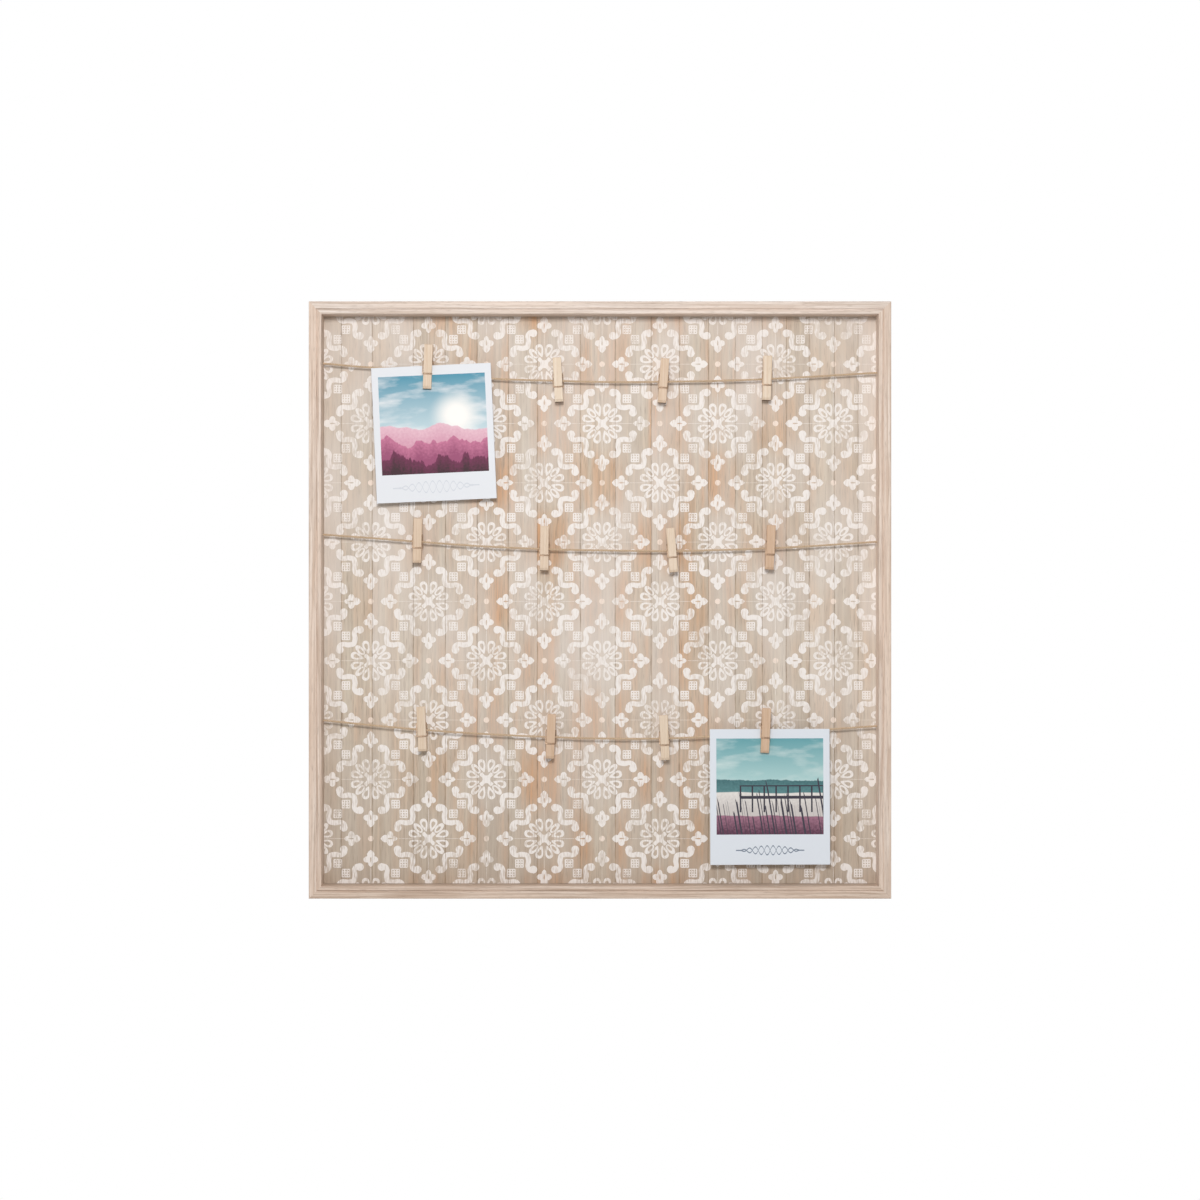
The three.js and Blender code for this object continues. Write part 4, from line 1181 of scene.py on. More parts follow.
def birch():
    """Birch or beech, tumbled: cream to orange from peg to peg, end grain darkened with painted shade, a
    faint polish.
    """
    material, tree, shader = new_material("tumbled birch")
    tone = add(tree, "ShaderNodeAttribute", attribute_name="peg_tone").outputs["Fac"]
    place = add(tree, "ShaderNodeTexCoord").outputs["Object"]
    own_tree = add(tree, "ShaderNodeVectorMath", {0: BIRCH_SPREAD, "Scale": tone}, operation="SCALE")
    fine = (BIRCH_GRAIN / MM,) * 3
    own_place = add(tree, "ShaderNodeVectorMath", {0: place, 1: fine, 2: own_tree}, operation="MULTIPLY_ADD")
    grain = add(tree, "ShaderNodeGroup", {"Place": own_place}, node_tree=WOOD_GRAIN)
    shade = add(tree, "ShaderNodeMix", {0: tone, 6: linear("d0b492"), 7: linear("be9875")}, data_type="RGBA")
    bands = add(tree, "ShaderNodeMath", {0: grain.outputs["Bands"], 1: 0.55}, operation="MULTIPLY")
    pores = add(tree, "ShaderNodeMath", {0: grain.outputs["Pores"], 1: 0.3}, operation="MULTIPLY")
    sawn = add(tree, "ShaderNodeAttribute", attribute_name="shaded_end_grain").outputs["Fac"]
    shown = add(tree, "ShaderNodeMix", {0: tone, 6: linear("e6d5c1"), 7: linear("d1b297")}, data_type="RGBA")
    # the jaw tips go dark brown: partly the end grain's own colour, partly painted shade under the jaws
    for share, colour in ((bands, shade), (pores, linear("b18d6d")), (sawn, linear("6b5442"))):
        shown = add(tree, "ShaderNodeMix", {0: share, 6: shown, 7: colour}, data_type="RGBA")
    bump = add(tree, "ShaderNodeBump", {
        "Height": grain.outputs["Bands"], "Strength": 0.2, "Distance": 0.1 * MM,
    })
    feed(tree, shader, {"Base Color": shown, "Normal": bump, "Roughness": 0.55})
    return material


def drawn_steel(name, colour, roughness, scratch):
    """Drawn or stamped steel, plated: a metal whose fine scratches spread its highlights."""
    material, tree, shader = new_material(name)
    place = add(tree, "ShaderNodeTexCoord").outputs["Object"]
    clouds = add(tree, "ShaderNodeTexNoise", {"Vector": place, "Scale": 1 / (scratch * MM), "Detail": 4})
    tarnish = add(tree, "ShaderNodeMapRange", {"Value": clouds, "From Min": 0.35, "From Max": 0.7})
    dulled = add(tree, "ShaderNodeMix", {
        0: tarnish, 6: linear(colour), 7: [0.6 * part for part in linear(colour)[:3]] + [1],
    }, data_type="RGBA")
    rough = add(tree, "ShaderNodeMapRange", {
        "Value": clouds, "To Min": roughness - 0.1, "To Max": roughness + 0.15,
    })
    feed(tree, shader, {"Base Color": dulled, "Roughness": rough, "Metallic": 1.0})
    return material


BIRCH = birch()
SPRING_WIRE = drawn_steel("copper washed spring wire", "d2b69d", 0.5, 1.5)
ZINC_PLATE = drawn_steel("zinc plated steel", "b7b6b1", 0.4, 3.0)
print("finishes:", [finish.name for finish in (BIRCH, SPRING_WIRE, ZINC_PLATE)])

# %% Spring wire along its path
COIL_RADIUS = 1.85
CURLS = 4
CURL_STEPS = 20
WIRE_SIDES = 8
WIRE_BEND = 1.1
WIRE_BEND_STEPS = 5
WIRE_STUB = 0.7


def spring_line(jaw_gap):
    """The wire's middle line: across the back half, up its side, round the coil and down to the front."""
    side = PEG_WIDTH / 2 + WIRE_FIT + WIRE_RADIUS
    crossing = HALF_THICKNESS + jaw_gap / 2
    drop = COIL_ABOVE_LINE + GROOVE_BELOW_LINE
    leave = math.pi + math.atan2(drop, crossing) - math.acos(COIL_RADIUS / math.hypot(crossing, drop))
    enter = math.pi - leave
    sweep = leave - enter + 2 * math.pi * CURLS
    steps = round(sweep / (2 * math.pi) * CURL_STEPS)
    coil = []
    for step in range(steps + 1):
        angle = enter + sweep * step / steps
        height = COIL_ABOVE_LINE + COIL_RADIUS * math.sin(angle)
        coil.append(Vector((side * (1 - 2 * step / steps), COIL_RADIUS * math.cos(angle), height)))
    corner = Vector((-side, -crossing, -GROOVE_BELOW_LINE))
    bend_start = corner + (coil[-1] - corner).normalized() * WIRE_BEND
    bend_end = corner + Vector((WIRE_BEND, 0, 0))
    arm = []
    for step in range(WIRE_BEND_STEPS + 1):
        t = step / WIRE_BEND_STEPS
        arm.append(bend_start * (1 - t) ** 2 + corner * 2 * t * (1 - t) + bend_end * t ** 2)
    arm.append(Vector((PEG_WIDTH / 2 + WIRE_STUB, -crossing, -GROOVE_BELOW_LINE)))
    other_arm = [Vector((-point.x, -point.y, point.z)) for point in reversed(arm)]
    return other_arm + coil + arm


def wire_mesh(name, line, place):
    """A closed round wire along a line, set in its place."""
    points = []
    normal = Vector((0, 1, 0))
    for before, point, after in zip([line[0], *line], line, [*line[1:], line[-1]]):
        along = (after - before).normalized()
        normal = (normal - along * normal.dot(along)).normalized()
        across = along.cross(normal)
        for number in range(WIRE_SIDES):
            angle = 2 * math.pi * number / WIRE_SIDES
            outward = normal * math.cos(angle) + across * math.sin(angle)
            points.append(place @ (point + WIRE_RADIUS * outward))
    faces = []
    for ring in range(len(line) - 1):
        for number in range(WIRE_SIDES):
            here = ring * WIRE_SIDES + number
            beside = ring * WIRE_SIDES + (number + 1) % WIRE_SIDES
            faces.append((here, beside, beside + WIRE_SIDES, here + WIRE_SIDES))
    faces.append(tuple(range(WIRE_SIDES - 1, -1, -1)))
    faces.append(tuple(range(len(points) - WIRE_SIDES, len(points))))
    mesh = mesh_of(name, points, faces)
    for face in mesh.polygons[:-2]:
        face.use_smooth = True
    mesh.materials.append(SPRING_WIRE)
    return mesh


# %% Twelve pegs
# For each row, the tone of its pegs from left to right: nothing for cream and one for orange
PEG_TONES = {
    "top": (0.28, 0, 0.55, 0.14), "middle": (0.48, 0.3, 0.18, 1), "bottom": (0.2, 0.85, 0.12, 0.92),
}
peg_places = {}
for joint in frame["joints"]:
    if not joint["name"].endswith("_open"):
        continue
    peg = joint["parent"]
    jaw = joint["child"]
    level = -Vector(joint["axis"])
    upright = level.cross(Vector((0, 1, 0)))
    turn = Matrix((level, (0, 1, 0), upright)).transposed().to_4x4()
    coil = Vector(joint["pos_m"]) / MM
    place = Matrix.Translation(coil - upright * COIL_ABOVE_LINE) @ turn
    peg_places[peg] = place
    jaw_gap = (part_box(peg + "_back_half")[0].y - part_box(peg + "_front_half")[1].y) / MM
    row, number = peg.split("_")[1:]
    tone = PEG_TONES[row][int(number) - 1]
    for half, body, facing in (("back", peg, 0), ("front", jaw, math.pi)):
        mesh = HALF_MESH.copy()
        mesh.name = f"{peg}_{half}_wood"
        set_half = Matrix.Rotation(facing, 4, "Z") @ Matrix.Translation((0, jaw_gap / 2, 0))
        mesh.transform(Matrix.Scale(MM, 4) @ place @ set_half @ Matrix.Scale(1 / MM, 4))
        own_tone = mesh.attributes.new("peg_tone", "FLOAT", "POINT")
        own_tone.data.foreach_set("value", [tone] * len(mesh.vertices))
        mesh.materials.append(BIRCH)
        wood = show(mesh.name, mesh)
        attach(wood, body)
        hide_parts(f"{peg}_{half}_half")
    wire = show(peg + "_wire", wire_mesh(peg + "_wire", spring_line(jaw_gap), place))
    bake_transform(wire)
    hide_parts(peg + "_spring")
print(len(peg_places), "pegs, each with two halves and a wire")

# %% [markdown]
# ## Photo prints
# Two instant-style prints hang in the pegs: white card with a picture and a deep lower margin. A flat
# box would look like a tile, so each print is a thin sheet with a slight curl, and its picture is drawn
# by nodes on the sheet's own map. The pictures are plain landscapes in soft colours.

# %% Print sheet
PRINT_WIDTH = 121
PRINT_HEIGHT = 137
PRINT_THICKNESS = 0.4
PRINT_ABOVE_LINE = 3.0
PRINT_COLUMNS = 20
PRINT_ROWS = 24
PRINT_EDGE = 0.4  # a narrow strip along each edge, so that the flat face stays flat up to it
PRINT_CURL = 1.6  # of the lower corners, towards the front


def print_mesh(name, place, picture, card):
    """A sheet that hangs from the middle of its top edge and curls a little towards its lower corners."""
    across, downward = [
        [0, PRINT_EDGE, *[length * n / count for n in range(1, count)], length - PRINT_EDGE, length]
        for length, count in ((PRINT_WIDTH, PRINT_COLUMNS), (PRINT_HEIGHT, PRINT_ROWS))
    ]
    spots = [(x / PRINT_WIDTH, down / PRINT_HEIGHT) for down in downward for x in across]
    layers = []
    for depth in (-PRINT_THICKNESS / 2, PRINT_THICKNESS / 2):
        for x, down in spots:
            bow = PRINT_CURL * down ** 2 * (0.35 + 0.65 * (2 * x - 1) ** 2)
            layers.append(place @ Vector((PRINT_WIDTH * (x - 0.5), depth - bow, -PRINT_HEIGHT * down)))
    wide = len(across)
    layer = len(spots)
    faces = []
    for row in range(len(downward) - 1):
        for column in range(wide - 1):
            here = row * wide + column
            faces.append((here, here + wide, here + wide + 1, here + 1))
    front = len(faces)
    faces += [tuple(layer + corner for corner in reversed(face)) for face in faces]
    rim = [*range(wide), *range(2 * wide - 1, layer, wide), *range(layer - 2, layer - wide - 1, -1)]
    rim += range(layer - 2 * wide, 0, -wide)
    faces += [(a, b, b + layer, a + layer) for a, b in zip(rim, rim[1:] + rim[:1])]
    mesh = mesh_of(name, layers, faces)
    uv = mesh.uv_layers.new(name="print_face")
    for loop in mesh.loops:
        x, down = spots[loop.vertex_index % layer]
        uv.data[loop.index].uv = (x, 1 - down)
    mesh.materials.append(picture)
    mesh.materials.append(card)
    for face in mesh.polygons:
        face.use_smooth = face.index < 2 * front
        face.material_index = 0 if face.index < front else 1
    return mesh


# %% Card and picture
PRINT_MARGIN = 6.5
CARD_FIBRE = 0.8


def photo_card(name, white, picture=None):
    """Coated photo card: white with a faint blue cast and a satin gloss. A picture may fill its frame."""
    material, tree, shader = new_material(name)
    place = add(tree, "ShaderNodeTexCoord").outputs["Object"]
    fibres = add(tree, "ShaderNodeTexNoise", {"Vector": place, "Scale": 1 / (CARD_FIBRE * MM), "Detail": 3})
    share = add(tree, "ShaderNodeMath", {0: fibres, 1: 0.12}, operation="MULTIPLY")
    shown = add(tree, "ShaderNodeMix", {0: share, 6: linear(white), 7: linear("cfd0d8")}, data_type="RGBA")
    if picture:
        map_node = add(tree, "ShaderNodeUVMap", uv_map="print_face")
        real = add(tree, "ShaderNodeVectorMath", {
            0: map_node, 1: (PRINT_WIDTH, PRINT_HEIGHT, 0),
        }, operation="MULTIPLY")
        split = add(tree, "ShaderNodeSeparateXYZ", {0: real})
        shown = picture(tree, split.outputs["X"], split.outputs["Y"], shown)
    bump = add(tree, "ShaderNodeBump", {"Height": fibres, "Strength": 0.08, "Distance": 0.1 * MM})
    feed(tree, shader, {"Base Color": shown, "Normal": bump, "Roughness": 0.55, "Specular IOR Level": 0.3})
    return material


def bar(tree, x, y, left, right, low, high):
    """A rectangle on the print: one inside it and nothing elsewhere."""
    inside = []
    for place, start, end in ((x, left, right), (y, low, high)):
        middle, half = (start + end) / 2, (end - start) / 2
        inside.append(add(tree, "ShaderNodeMath", {0: place, 1: middle, 2: half}, operation="COMPARE"))
    return add(tree, "ShaderNodeMath", {0: inside[0], 1: inside[1]}, operation="MULTIPLY")


def in_frame(tree, x, y, picture, card, low, high):
    """Shows a picture between two heights, inside the side margins, and the card elsewhere."""
    window = bar(tree, x, y, PRINT_MARGIN, PRINT_WIDTH - PRINT_MARGIN, low, high)
    return add(tree, "ShaderNodeMix", {0: window, 6: card, 7: picture}, data_type="RGBA")


# %% Braid in the lower margin
BRAID_HEIGHT = 14.5
BRAID_LINE = 0.6
BRAID_ENDS = 1.15  # the two strands run on as one to this many times their reach


def braid_below(tree, x, y, shown, swing, wavelength, reach, colour):
    """A braid of two mirrored waves in the lower margin, which narrows towards both ends."""
    aside = add(tree, "ShaderNodeMath", {0: x, 1: PRINT_WIDTH / 2}, operation="SUBTRACT")
    phase = add(tree, "ShaderNodeMath", {0: aside, 1: 2 * math.pi / wavelength}, operation="MULTIPLY")
    wave = add(tree, "ShaderNodeMath", {0: phase}, operation="SINE")
    share = add(tree, "ShaderNodeMath", {0: aside, 1: reach}, operation="DIVIDE")
    square = add(tree, "ShaderNodeMath", {0: share, 1: 2.0}, operation="POWER")
    taper = add(tree, "ShaderNodeMapRange", {"Value": square, "To Min": swing, "To Max": 0.0})
    over = add(tree, "ShaderNodeMath", {0: wave, 1: taper}, operation="MULTIPLY")
    height = add(tree, "ShaderNodeMath", {0: y, 1: BRAID_HEIGHT}, operation="SUBTRACT")
    strands = []
    for side in (1.0, -1.0):
        line = add(tree, "ShaderNodeMath", {0: over, 1: side}, operation="MULTIPLY")
        near = add(tree, "ShaderNodeMath", {0: height, 1: line, 2: BRAID_LINE}, operation="COMPARE")
        strands.append(near)
    both = add(tree, "ShaderNodeMath", {0: strands[0], 1: strands[1]}, operation="MAXIMUM")
    span = add(tree, "ShaderNodeMath", {0: aside, 1: 0.0, 2: BRAID_ENDS * reach}, operation="COMPARE")
    drawn = add(tree, "ShaderNodeMath", {0: both, 1: span}, operation="MULTIPLY")
    return add(tree, "ShaderNodeMix", {0: drawn, 6: shown, 7: linear(colour)}, data_type="RGBA")


# %% Sky and ridges
CLOUD_SIZE = (42, 13)
RIDGE_SHIFT = 7.3  # so that no two ridges of a picture are alike
GROWTH_SCALE = 0.4  # waves of its noise to a millimetre of the print
GROWTH_DEPTH = 26.0  # how far growth breaks up the shade of a slope
SHADE_DEPTHS = (9.0, 30.0)  # a slope goes from its first to its second colour between these depths


def cloudy_sky(tree, x, y, low, high, colours):
    """A sky that deepens from one height to another, with thin drawn-out clouds."""
    rise = add(tree, "ShaderNodeMapRange", {"Value": y, "From Min": low, "From Max": high})
    clear = add(tree, "ShaderNodeMix", {
        0: rise, 6: linear(colours[0]), 7: linear(colours[1]),
    }, data_type="RGBA")
    place = add(tree, "ShaderNodeCombineXYZ", {"X": x, "Y": y})
    shrink = (1 / CLOUD_SIZE[0], 1 / CLOUD_SIZE[1], 0)
    drawn = add(tree, "ShaderNodeVectorMath", {0: place, 1: shrink}, operation="MULTIPLY")
    clouds = add(tree, "ShaderNodeTexNoise", {"Vector": drawn, "Scale": 1.0, "Detail": 6})
    share = add(tree, "ShaderNodeMapRange", {
        "Value": clouds, "From Min": 0.48, "From Max": 0.75, "To Max": 0.8,
    })
    return add(tree, "ShaderNodeMix", {0: share, 6: clear, 7: linear(colours[2])}, data_type="RGBA")


def layered(tree, x, y, sky, layers, softness):
    """Lays ridges over a sky, back to front: each a base, a rise, a wavelength, a roughness and colours."""
    shown = sky
    place = add(tree, "ShaderNodeCombineXYZ", {"X": x, "Y": y})
    growth = add(tree, "ShaderNodeTexNoise", {"Vector": place, "Scale": GROWTH_SCALE, "Detail": 5})
    for number, (base, rise, wavelength, roughness, colour) in enumerate(layers):
        along = add(tree, "ShaderNodeMath", {
            0: x, 1: 1 / wavelength, 2: RIDGE_SHIFT * number,
        }, operation="MULTIPLY_ADD")
        ridge = add(tree, "ShaderNodeTexNoise", {
            "W": along, "Scale": 1.0, "Detail": 7, "Roughness": roughness,
        }, noise_dimensions="1D")
        height = add(tree, "ShaderNodeMath", {0: ridge, 1: rise, 2: base}, operation="MULTIPLY_ADD")
        above = add(tree, "ShaderNodeMath", {0: height, 1: y}, operation="SUBTRACT")
        inside = add(tree, "ShaderNodeMapRange", {
            "Value": above, "From Min": -softness, "From Max": softness,
        }, interpolation_type="SMOOTHSTEP")
        patchy = add(tree, "ShaderNodeMath", {0: growth, 1: GROWTH_DEPTH, 2: above}, operation="MULTIPLY_ADD")
        lit = add(tree, "ShaderNodeMapRange", {
            "Value": patchy, "From Min": SHADE_DEPTHS[0], "From Max": SHADE_DEPTHS[1],
        })
        shade = add(tree, "ShaderNodeMix", {
            0: lit, 6: linear(colour[0]), 7: linear(colour[1]),
        }, data_type="RGBA")
        shown = add(tree, "ShaderNodeMix", {0: inside, 6: shown, 7: shade}, data_type="RGBA")
    return shown


# %% Evening hills
HILLS_FRAME = (28.0, 127.5)  # the heights of the picture's lower and upper edge on the print
SUN_PLACE = (84, 86, 0)
SUN_GLOW = (30.0, 6.0)  # the glow starts this far from the sun's middle, and is full this near it


def evening_hills(tree, x, y, card):
    """Rose and plum hills under a pale blue evening sky with a low white sun."""
    sky = cloudy_sky(tree, x, y, 56.0, 126.0, ("d7e6ea", "4f93ab", "f7f4f4"))
    spot_place = add(tree, "ShaderNodeCombineXYZ", {"X": x, "Y": y})
    far = add(tree, "ShaderNodeVectorMath", {0: spot_place, 1: SUN_PLACE}, operation="DISTANCE")
    glow = add(tree, "ShaderNodeMapRange", {
        "Value": far.outputs["Value"], "From Min": SUN_GLOW[0], "From Max": SUN_GLOW[1],
    }, interpolation_type="SMOOTHSTEP")
    lit_sky = add(tree, "ShaderNodeMix", {0: glow, 6: sky, 7: linear("fdf9f4")}, data_type="RGBA")
    shown = layered(tree, x, y, lit_sky, [
        (56, 34, 44, 0.4, ("e9c2cd", "d79fb3")), (40, 40, 34, 0.5, ("cb7a9a", "994c70")),
        (22, 42, 26, 0.62, ("73294f", "34161f")),
    ], 0.6)
    framed = in_frame(tree, x, y, shown, card, *HILLS_FRAME)
    return braid_below(tree, x, y, framed, 6.0, 14.0, 38.0, "d3d6dd")


# %% Quiet shore
SHORE_FRAME = (30.5, 127.5)
JETTY = (30, 120)  # where it starts and ends, across the print
JETTY_PLANKS = (66.5, 69.5)
JETTY_RAIL = (79, 80.2)
JETTY_FOOT = 53
POST_STEP = 12.0
POST = (6.0, 7.6)  # its two sides, within each step
REED_LEAN = 0.16
REED_STEMS = 0.42  # waves of the noise of stems, and of the heights of tufts, to a millimetre
REED_TUFTS = 0.11
REED_HEIGHTS = (24.0, 84.0)  # of the lowest tuft, and what the noise adds


def quiet_shore(tree, x, y, card):
    """A teal sky and a pale lake over mauve heath, with a dark jetty, and reeds in front of it."""
    sky = cloudy_sky(tree, x, y, 80.0, 126.0, ("b4d6d5", "68a3ab", "d8e6e4"))
    lake = layered(tree, x, y, sky, [
        (80, 10, 40, 0.6, ("3f686c", "5d8a8d")), (70, 5, 70, 0.3, ("e9e4df", "cfc8c4")),
    ], 0.5)
    planks = bar(tree, x, y, *JETTY, *JETTY_PLANKS)
    handrail = bar(tree, x, y, *JETTY, *JETTY_RAIL)
    spaced = add(tree, "ShaderNodeMath", {0: x, 1: POST_STEP}, operation="MODULO")
    posts = bar(tree, spaced, y, *POST, JETTY_FOOT, JETTY_RAIL[1])
    reach_out = bar(tree, x, y, *JETTY, 0, PRINT_HEIGHT)
    standing = add(tree, "ShaderNodeMath", {0: posts, 1: reach_out}, operation="MULTIPLY")
    level = add(tree, "ShaderNodeMath", {0: planks, 1: handrail}, operation="MAXIMUM")
    jetty = add(tree, "ShaderNodeMath", {0: standing, 1: level}, operation="MAXIMUM")
    built = add(tree, "ShaderNodeMix", {0: jetty, 6: lake, 7: linear("37343f")}, data_type="RGBA")
    shown = layered(tree, x, y, built, [(45, 8, 40, 0.55, ("a9788c", "5c384b"))], 0.5)
    sway = add(tree, "ShaderNodeMath", {0: y, 1: REED_LEAN, 2: x}, operation="MULTIPLY_ADD")
    reeds = add(tree, "ShaderNodeTexNoise", {
        "W": sway, "Scale": REED_STEMS, "Detail": 1,
    }, noise_dimensions="1D")
    stems = add(tree, "ShaderNodeMapRange", {"Value": reeds, "From Min": 0.56, "From Max": 0.6})
    tops = add(tree, "ShaderNodeTexNoise", {"W": sway, "Scale": REED_TUFTS}, noise_dimensions="1D")
    lowest, added = REED_HEIGHTS
    reach = add(tree, "ShaderNodeMath", {0: tops, 1: added, 2: lowest}, operation="MULTIPLY_ADD")
    below = add(tree, "ShaderNodeMath", {0: y, 1: reach}, operation="LESS_THAN")
    reed = add(tree, "ShaderNodeMath", {0: stems, 1: below}, operation="MULTIPLY")
    grown = add(tree, "ShaderNodeMix", {0: reed, 6: shown, 7: linear("3d3a46")}, data_type="RGBA")
    framed = in_frame(tree, x, y, grown, card, *SHORE_FRAME)
    return braid_below(tree, x, y, framed, 4.6, 12.0, 30.0, "7c8796")


# %% Prints in their pegs
# For each print: its CAD part, body and peg, how far it hangs to the right of the peg, its lean in
# degrees, the white of its card and its picture
PRINTS = [
    ("photo_print_top", "print_top", "peg_top_1", 2.8, 2.6, "e6e8ec", evening_hills),
    ("photo_print_bottom", "print_bottom", "peg_bottom_4", 4.3, 0.2, "e2e7ee", quiet_shore),
]
PLAIN_CARD = photo_card("white photo card", "e6e8ec")
for node, body, peg, aside, lean, white, picture in PRINTS:
    hung_at = peg_places[peg].translation + Vector((aside, 0, PRINT_ABOVE_LINE))
    place = Matrix.Translation(hung_at) @ Matrix.Rotation(-math.radians(lean), 4, "Y")
    material = photo_card("photo card with " + picture.__name__.replace("_", " "), white, picture)
    sheet = show(node + "_card", print_mesh(node + "_card", place, material, PLAIN_CARD))
    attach(sheet, body)
    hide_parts(node)
    print(sheet.name, "hangs in", peg)

# %% [markdown]
# ## Hardware on the back
# Two toothed hangers, their screws and the framer's points that hold the panel are stamped and turned
# parts whose CAD shapes are right, so they stay and take a zinc finish. Each mitre is also pinned from
# behind with a V-nail, a bent strip of steel that is pressed in almost level with the wood. One nail is
# drawn here, and Geometry Nodes set a copy on each corner and turn its point outwards.

# %% Zinc parts
zinc_parts = [name for name in frame["nodes"] if name.startswith(("hanger", "panel_point"))]
for name in zinc_parts:
    for slot in frame["nodes"][name].material_slots:
        slot.material = ZINC_PLATE
print(len(zinc_parts), "parts are zinc plated")

# %% V-nails
V_NAIL_SPREAD = 2.5
V_NAIL_POINT = 1.3
V_NAIL_WINGS = -1.2
V_NAIL_STRIP = 0.5
V_NAIL_LENGTH = 5
V_NAIL_PROUD = 0.05
V_NAIL_FROM_EDGE = 3.6


def v_nail():
    """One V-nail with its point up, from just behind the wood's face to its depth in the wood."""
    outer = [(-V_NAIL_SPREAD, V_NAIL_WINGS), (0, V_NAIL_POINT), (V_NAIL_SPREAD, V_NAIL_WINGS)]
    spread = V_NAIL_SPREAD - V_NAIL_STRIP
    inner = [(spread, V_NAIL_WINGS), (0, V_NAIL_POINT - V_NAIL_STRIP), (-spread, V_NAIL_WINGS)]
    outline = outer + inner
    points = [(x, y, z) for y in (V_NAIL_PROUD, -V_NAIL_LENGTH) for x, z in outline]
    faces = [(0, 1, 4, 5), (1, 2, 3, 4), (11, 10, 7, 6), (10, 9, 8, 7)]
    faces += [(n, n + 6, (n + 1) % 6 + 6, (n + 1) % 6) for n in range(6)]
    work = bmesh.new()
    work.from_mesh(mesh_of("v_nail", points, faces))
    return finish_bmesh("v_nail", work)


nail = show("v_nail", v_nail())
print("one V-nail:", len(nail.data.polygons), "faces")

# %% V-nails on the four corners
def corner_tree():
    """Sets what it is given on the four corners of a rectangle, turned to point outwards."""
    tree, given = new_tree("four corners", Half_width="Float", Half_height="Float", Middle="Vector")
    size = given.outputs
    column, row = column_and_row(tree, 2.0)
    right = add(tree, "ShaderNodeMath", {0: column, 1: 2.0, 2: -1.0}, operation="MULTIPLY_ADD")
    up = add(tree, "ShaderNodeMath", {0: row, 1: 2.0, 2: -1.0}, operation="MULTIPLY_ADD")
    x = add(tree, "ShaderNodeMath", {0: right, 1: size["Half_width"]}, operation="MULTIPLY")
    z = add(tree, "ShaderNodeMath", {0: up, 1: size["Half_height"]}, operation="MULTIPLY")
    reach = add(tree, "ShaderNodeCombineXYZ", {"X": x, "Z": z})
    place = add(tree, "ShaderNodeVectorMath", {0: size["Middle"], 1: reach}, operation="ADD")
    points = add(tree, "GeometryNodePoints", {"Count": 4, "Position": place})
    angle = add(tree, "ShaderNodeMath", {0: right, 1: up}, operation="ARCTAN2")
    turn = add(tree, "FunctionNodeAxisAngleToRotation", {"Axis": (0, 1, 0), "Angle": angle})
    copies = add(tree, "GeometryNodeInstanceOnPoints", {
        "Points": points, "Instance": size["Geometry"], "Rotation": turn,
    })
    end_tree(tree, copies, ZINC_PLATE)
    return tree


frame_half = (cad_box[1] - cad_box[0]) / 2
nail_mesh = run_tree(
    "v_nails", nail, corner_tree(), Half_width=frame_half.x - V_NAIL_FROM_EDGE * MM,
    Half_height=frame_half.z - V_NAIL_FROM_EDGE * MM, Middle=Vector((0, cad_box[1].y, middle_height)),
)
nails = show("v_nails", nail_mesh)
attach(nails, "frame")
print("v_nails:", len(nail_mesh.polygons), "faces")

# %% [markdown]
# ## Floor, light and background
# The display is lit by a small soft lamp in front of it, above and a little to the left, with light
# from all round that is stronger from the upper left. So the top rail casts a short shadow on the panel,
# the right and lower inner walls are lighter, and the light fades a little towards the foot. A weaker
# lamp behind shows the back to a viewer who walks round, and cannot reach the front. What the camera
# sees behind is plain white. It comes from the world and the floor, and only camera, mirror and glass
# rays see it, so that it adds no light to the wood.

# %% Floor
FLOOR_HEIGHT = -1.2
FLOOR_CORNERS = [(-2.2, -2.2), (2.2, -2.2), (2.2, 0.8), (-2.2, 0.8)]
FLOOR_WHITE = 0.93  # share of plain white in what the camera sees, the rest is lit and shaded


def seen_directly(tree):
    """One for rays from the camera, from a mirror or through glass, and nothing for spread light."""
    ray = add(tree, "ShaderNodeLightPath")
    seen = add(tree, "ShaderNodeMath", {
        0: ray.outputs["Is Camera Ray"], 1: ray.outputs["Is Glossy Ray"],
    }, operation="MAXIMUM")
    return add(tree, "ShaderNodeMath", {0: seen, 1: ray.outputs["Is Transmission Ray"]}, operation="MAXIMUM")


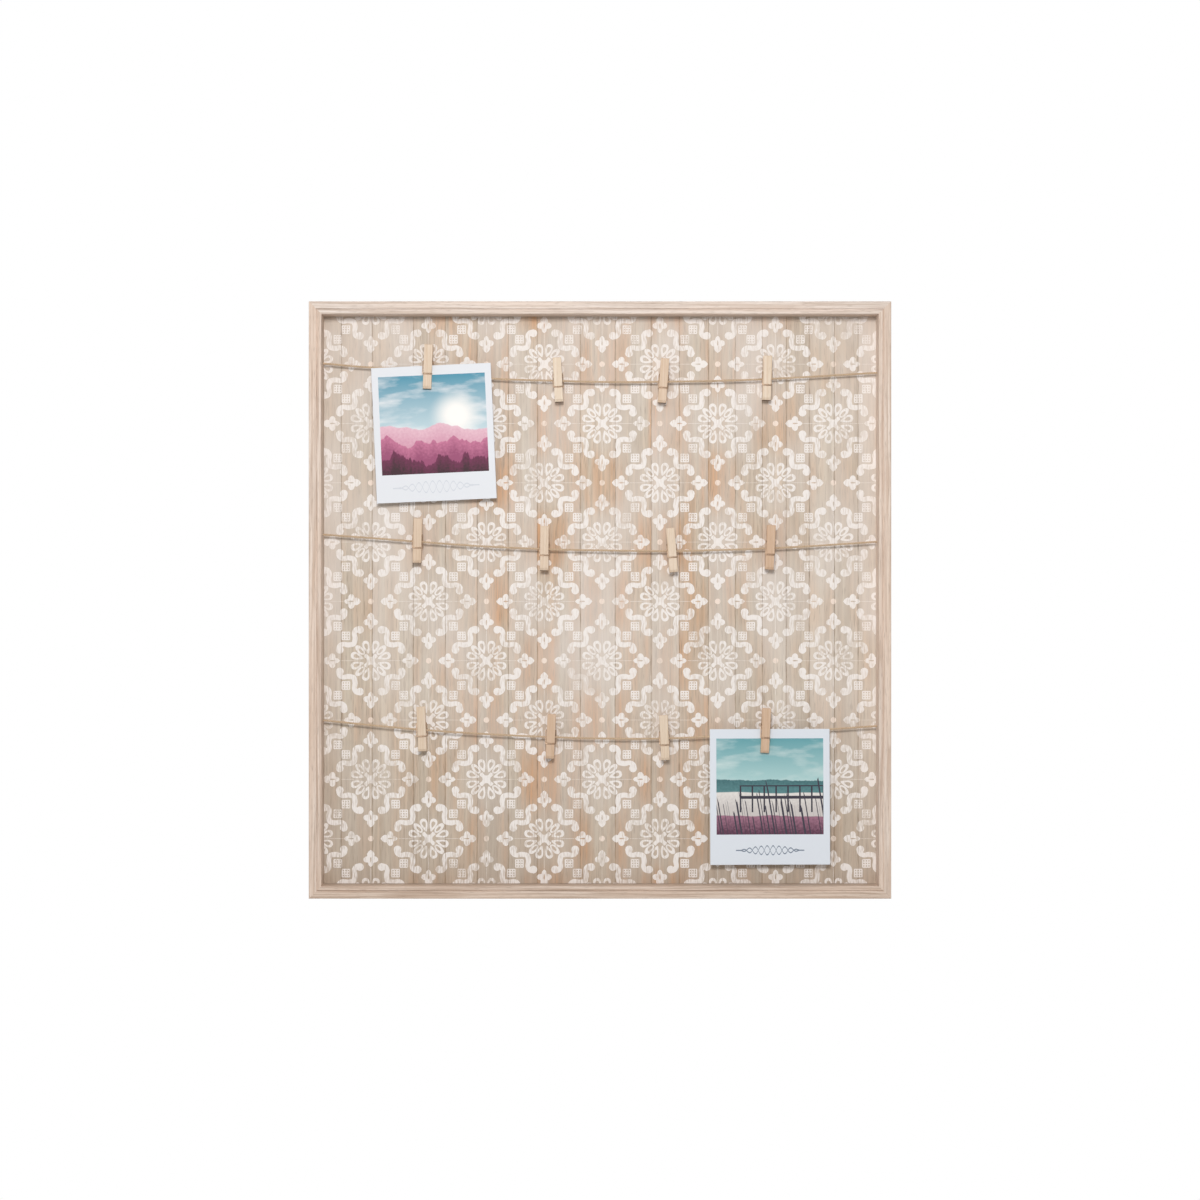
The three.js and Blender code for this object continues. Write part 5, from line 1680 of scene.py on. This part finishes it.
floor_mesh = bpy.data.meshes.new("floor")
floor_mesh.from_pydata([(x, y, FLOOR_HEIGHT) for x, y in FLOOR_CORNERS], [], [(0, 1, 2, 3)])
floor = show("floor", floor_mesh)
pale, pale_tree, pale_shader = new_material("pale floor")
feed(pale_tree, pale_shader, {"Base Color": linear("ecebe8"), "Roughness": 0.9})
white_share = add(pale_tree, "ShaderNodeMath", {
    0: seen_directly(pale_tree), 1: FLOOR_WHITE,
}, operation="MULTIPLY")
white = add(pale_tree, "ShaderNodeEmission", {"Color": linear("ffffff"), "Strength": 1.0})
faded_floor = add(pale_tree, "ShaderNodeMixShader", {0: white_share, 1: pale_shader, 2: white})
feed(pale_tree, pale_tree.nodes["Material Output"], {"Surface": faded_floor})
floor_mesh.materials.append(pale)
print("floor at", FLOOR_HEIGHT, "m")

# %% Light
AMBIENT_WEAK = 0.2
AMBIENT_STRONG = 0.55
BRIGHT_SIDE = Vector((-0.6, 0, 0.8))
KEY_PLACE = (-0.06, -1.5, 0.28)
KEY_WATTS = 14.5
LAMP_SIZE = 0.34
BACK_PLACE = (0.25, 1.5, 0.1)
BACK_WATTS = 7
world = bpy.data.worlds.new("white surround")
world.use_nodes = True
bpy.context.scene.world = world
sky_tree = world.node_tree
sky_tree.nodes.clear()
way = add(sky_tree, "ShaderNodeTexCoord").outputs["Generated"]
towards = add(sky_tree, "ShaderNodeVectorMath", {0: way, 1: BRIGHT_SIDE}, operation="DOT_PRODUCT")
around = add(sky_tree, "ShaderNodeMapRange", {
    "Value": towards.outputs["Value"], "From Min": -1.0, "To Min": AMBIENT_WEAK, "To Max": AMBIENT_STRONG,
})
strength = add(sky_tree, "ShaderNodeMapRange", {
    "Value": seen_directly(sky_tree), "To Min": around, "To Max": 1.0,
})
surround = add(sky_tree, "ShaderNodeBackground", {"Color": linear("ffffff"), "Strength": strength})
add(sky_tree, "ShaderNodeOutputWorld", {"Surface": surround})

for name, place, watts in (("key", KEY_PLACE, KEY_WATTS), ("back", BACK_PLACE, BACK_WATTS)):
    lamp_data = bpy.data.lights.new(name, "AREA")
    lamp_data.energy = watts
    lamp_data.size = LAMP_SIZE
    lamp = show(name, lamp_data)
    lamp.location = place
    aim = Vector((0, front_face, middle_height)) - lamp.location
    lamp.rotation_euler = aim.to_track_quat("-Z", "Y").to_euler()
    print(f"{name} lamp {aim.length:.2f} m away")
bpy.context.scene.view_settings.view_transform = "Standard"
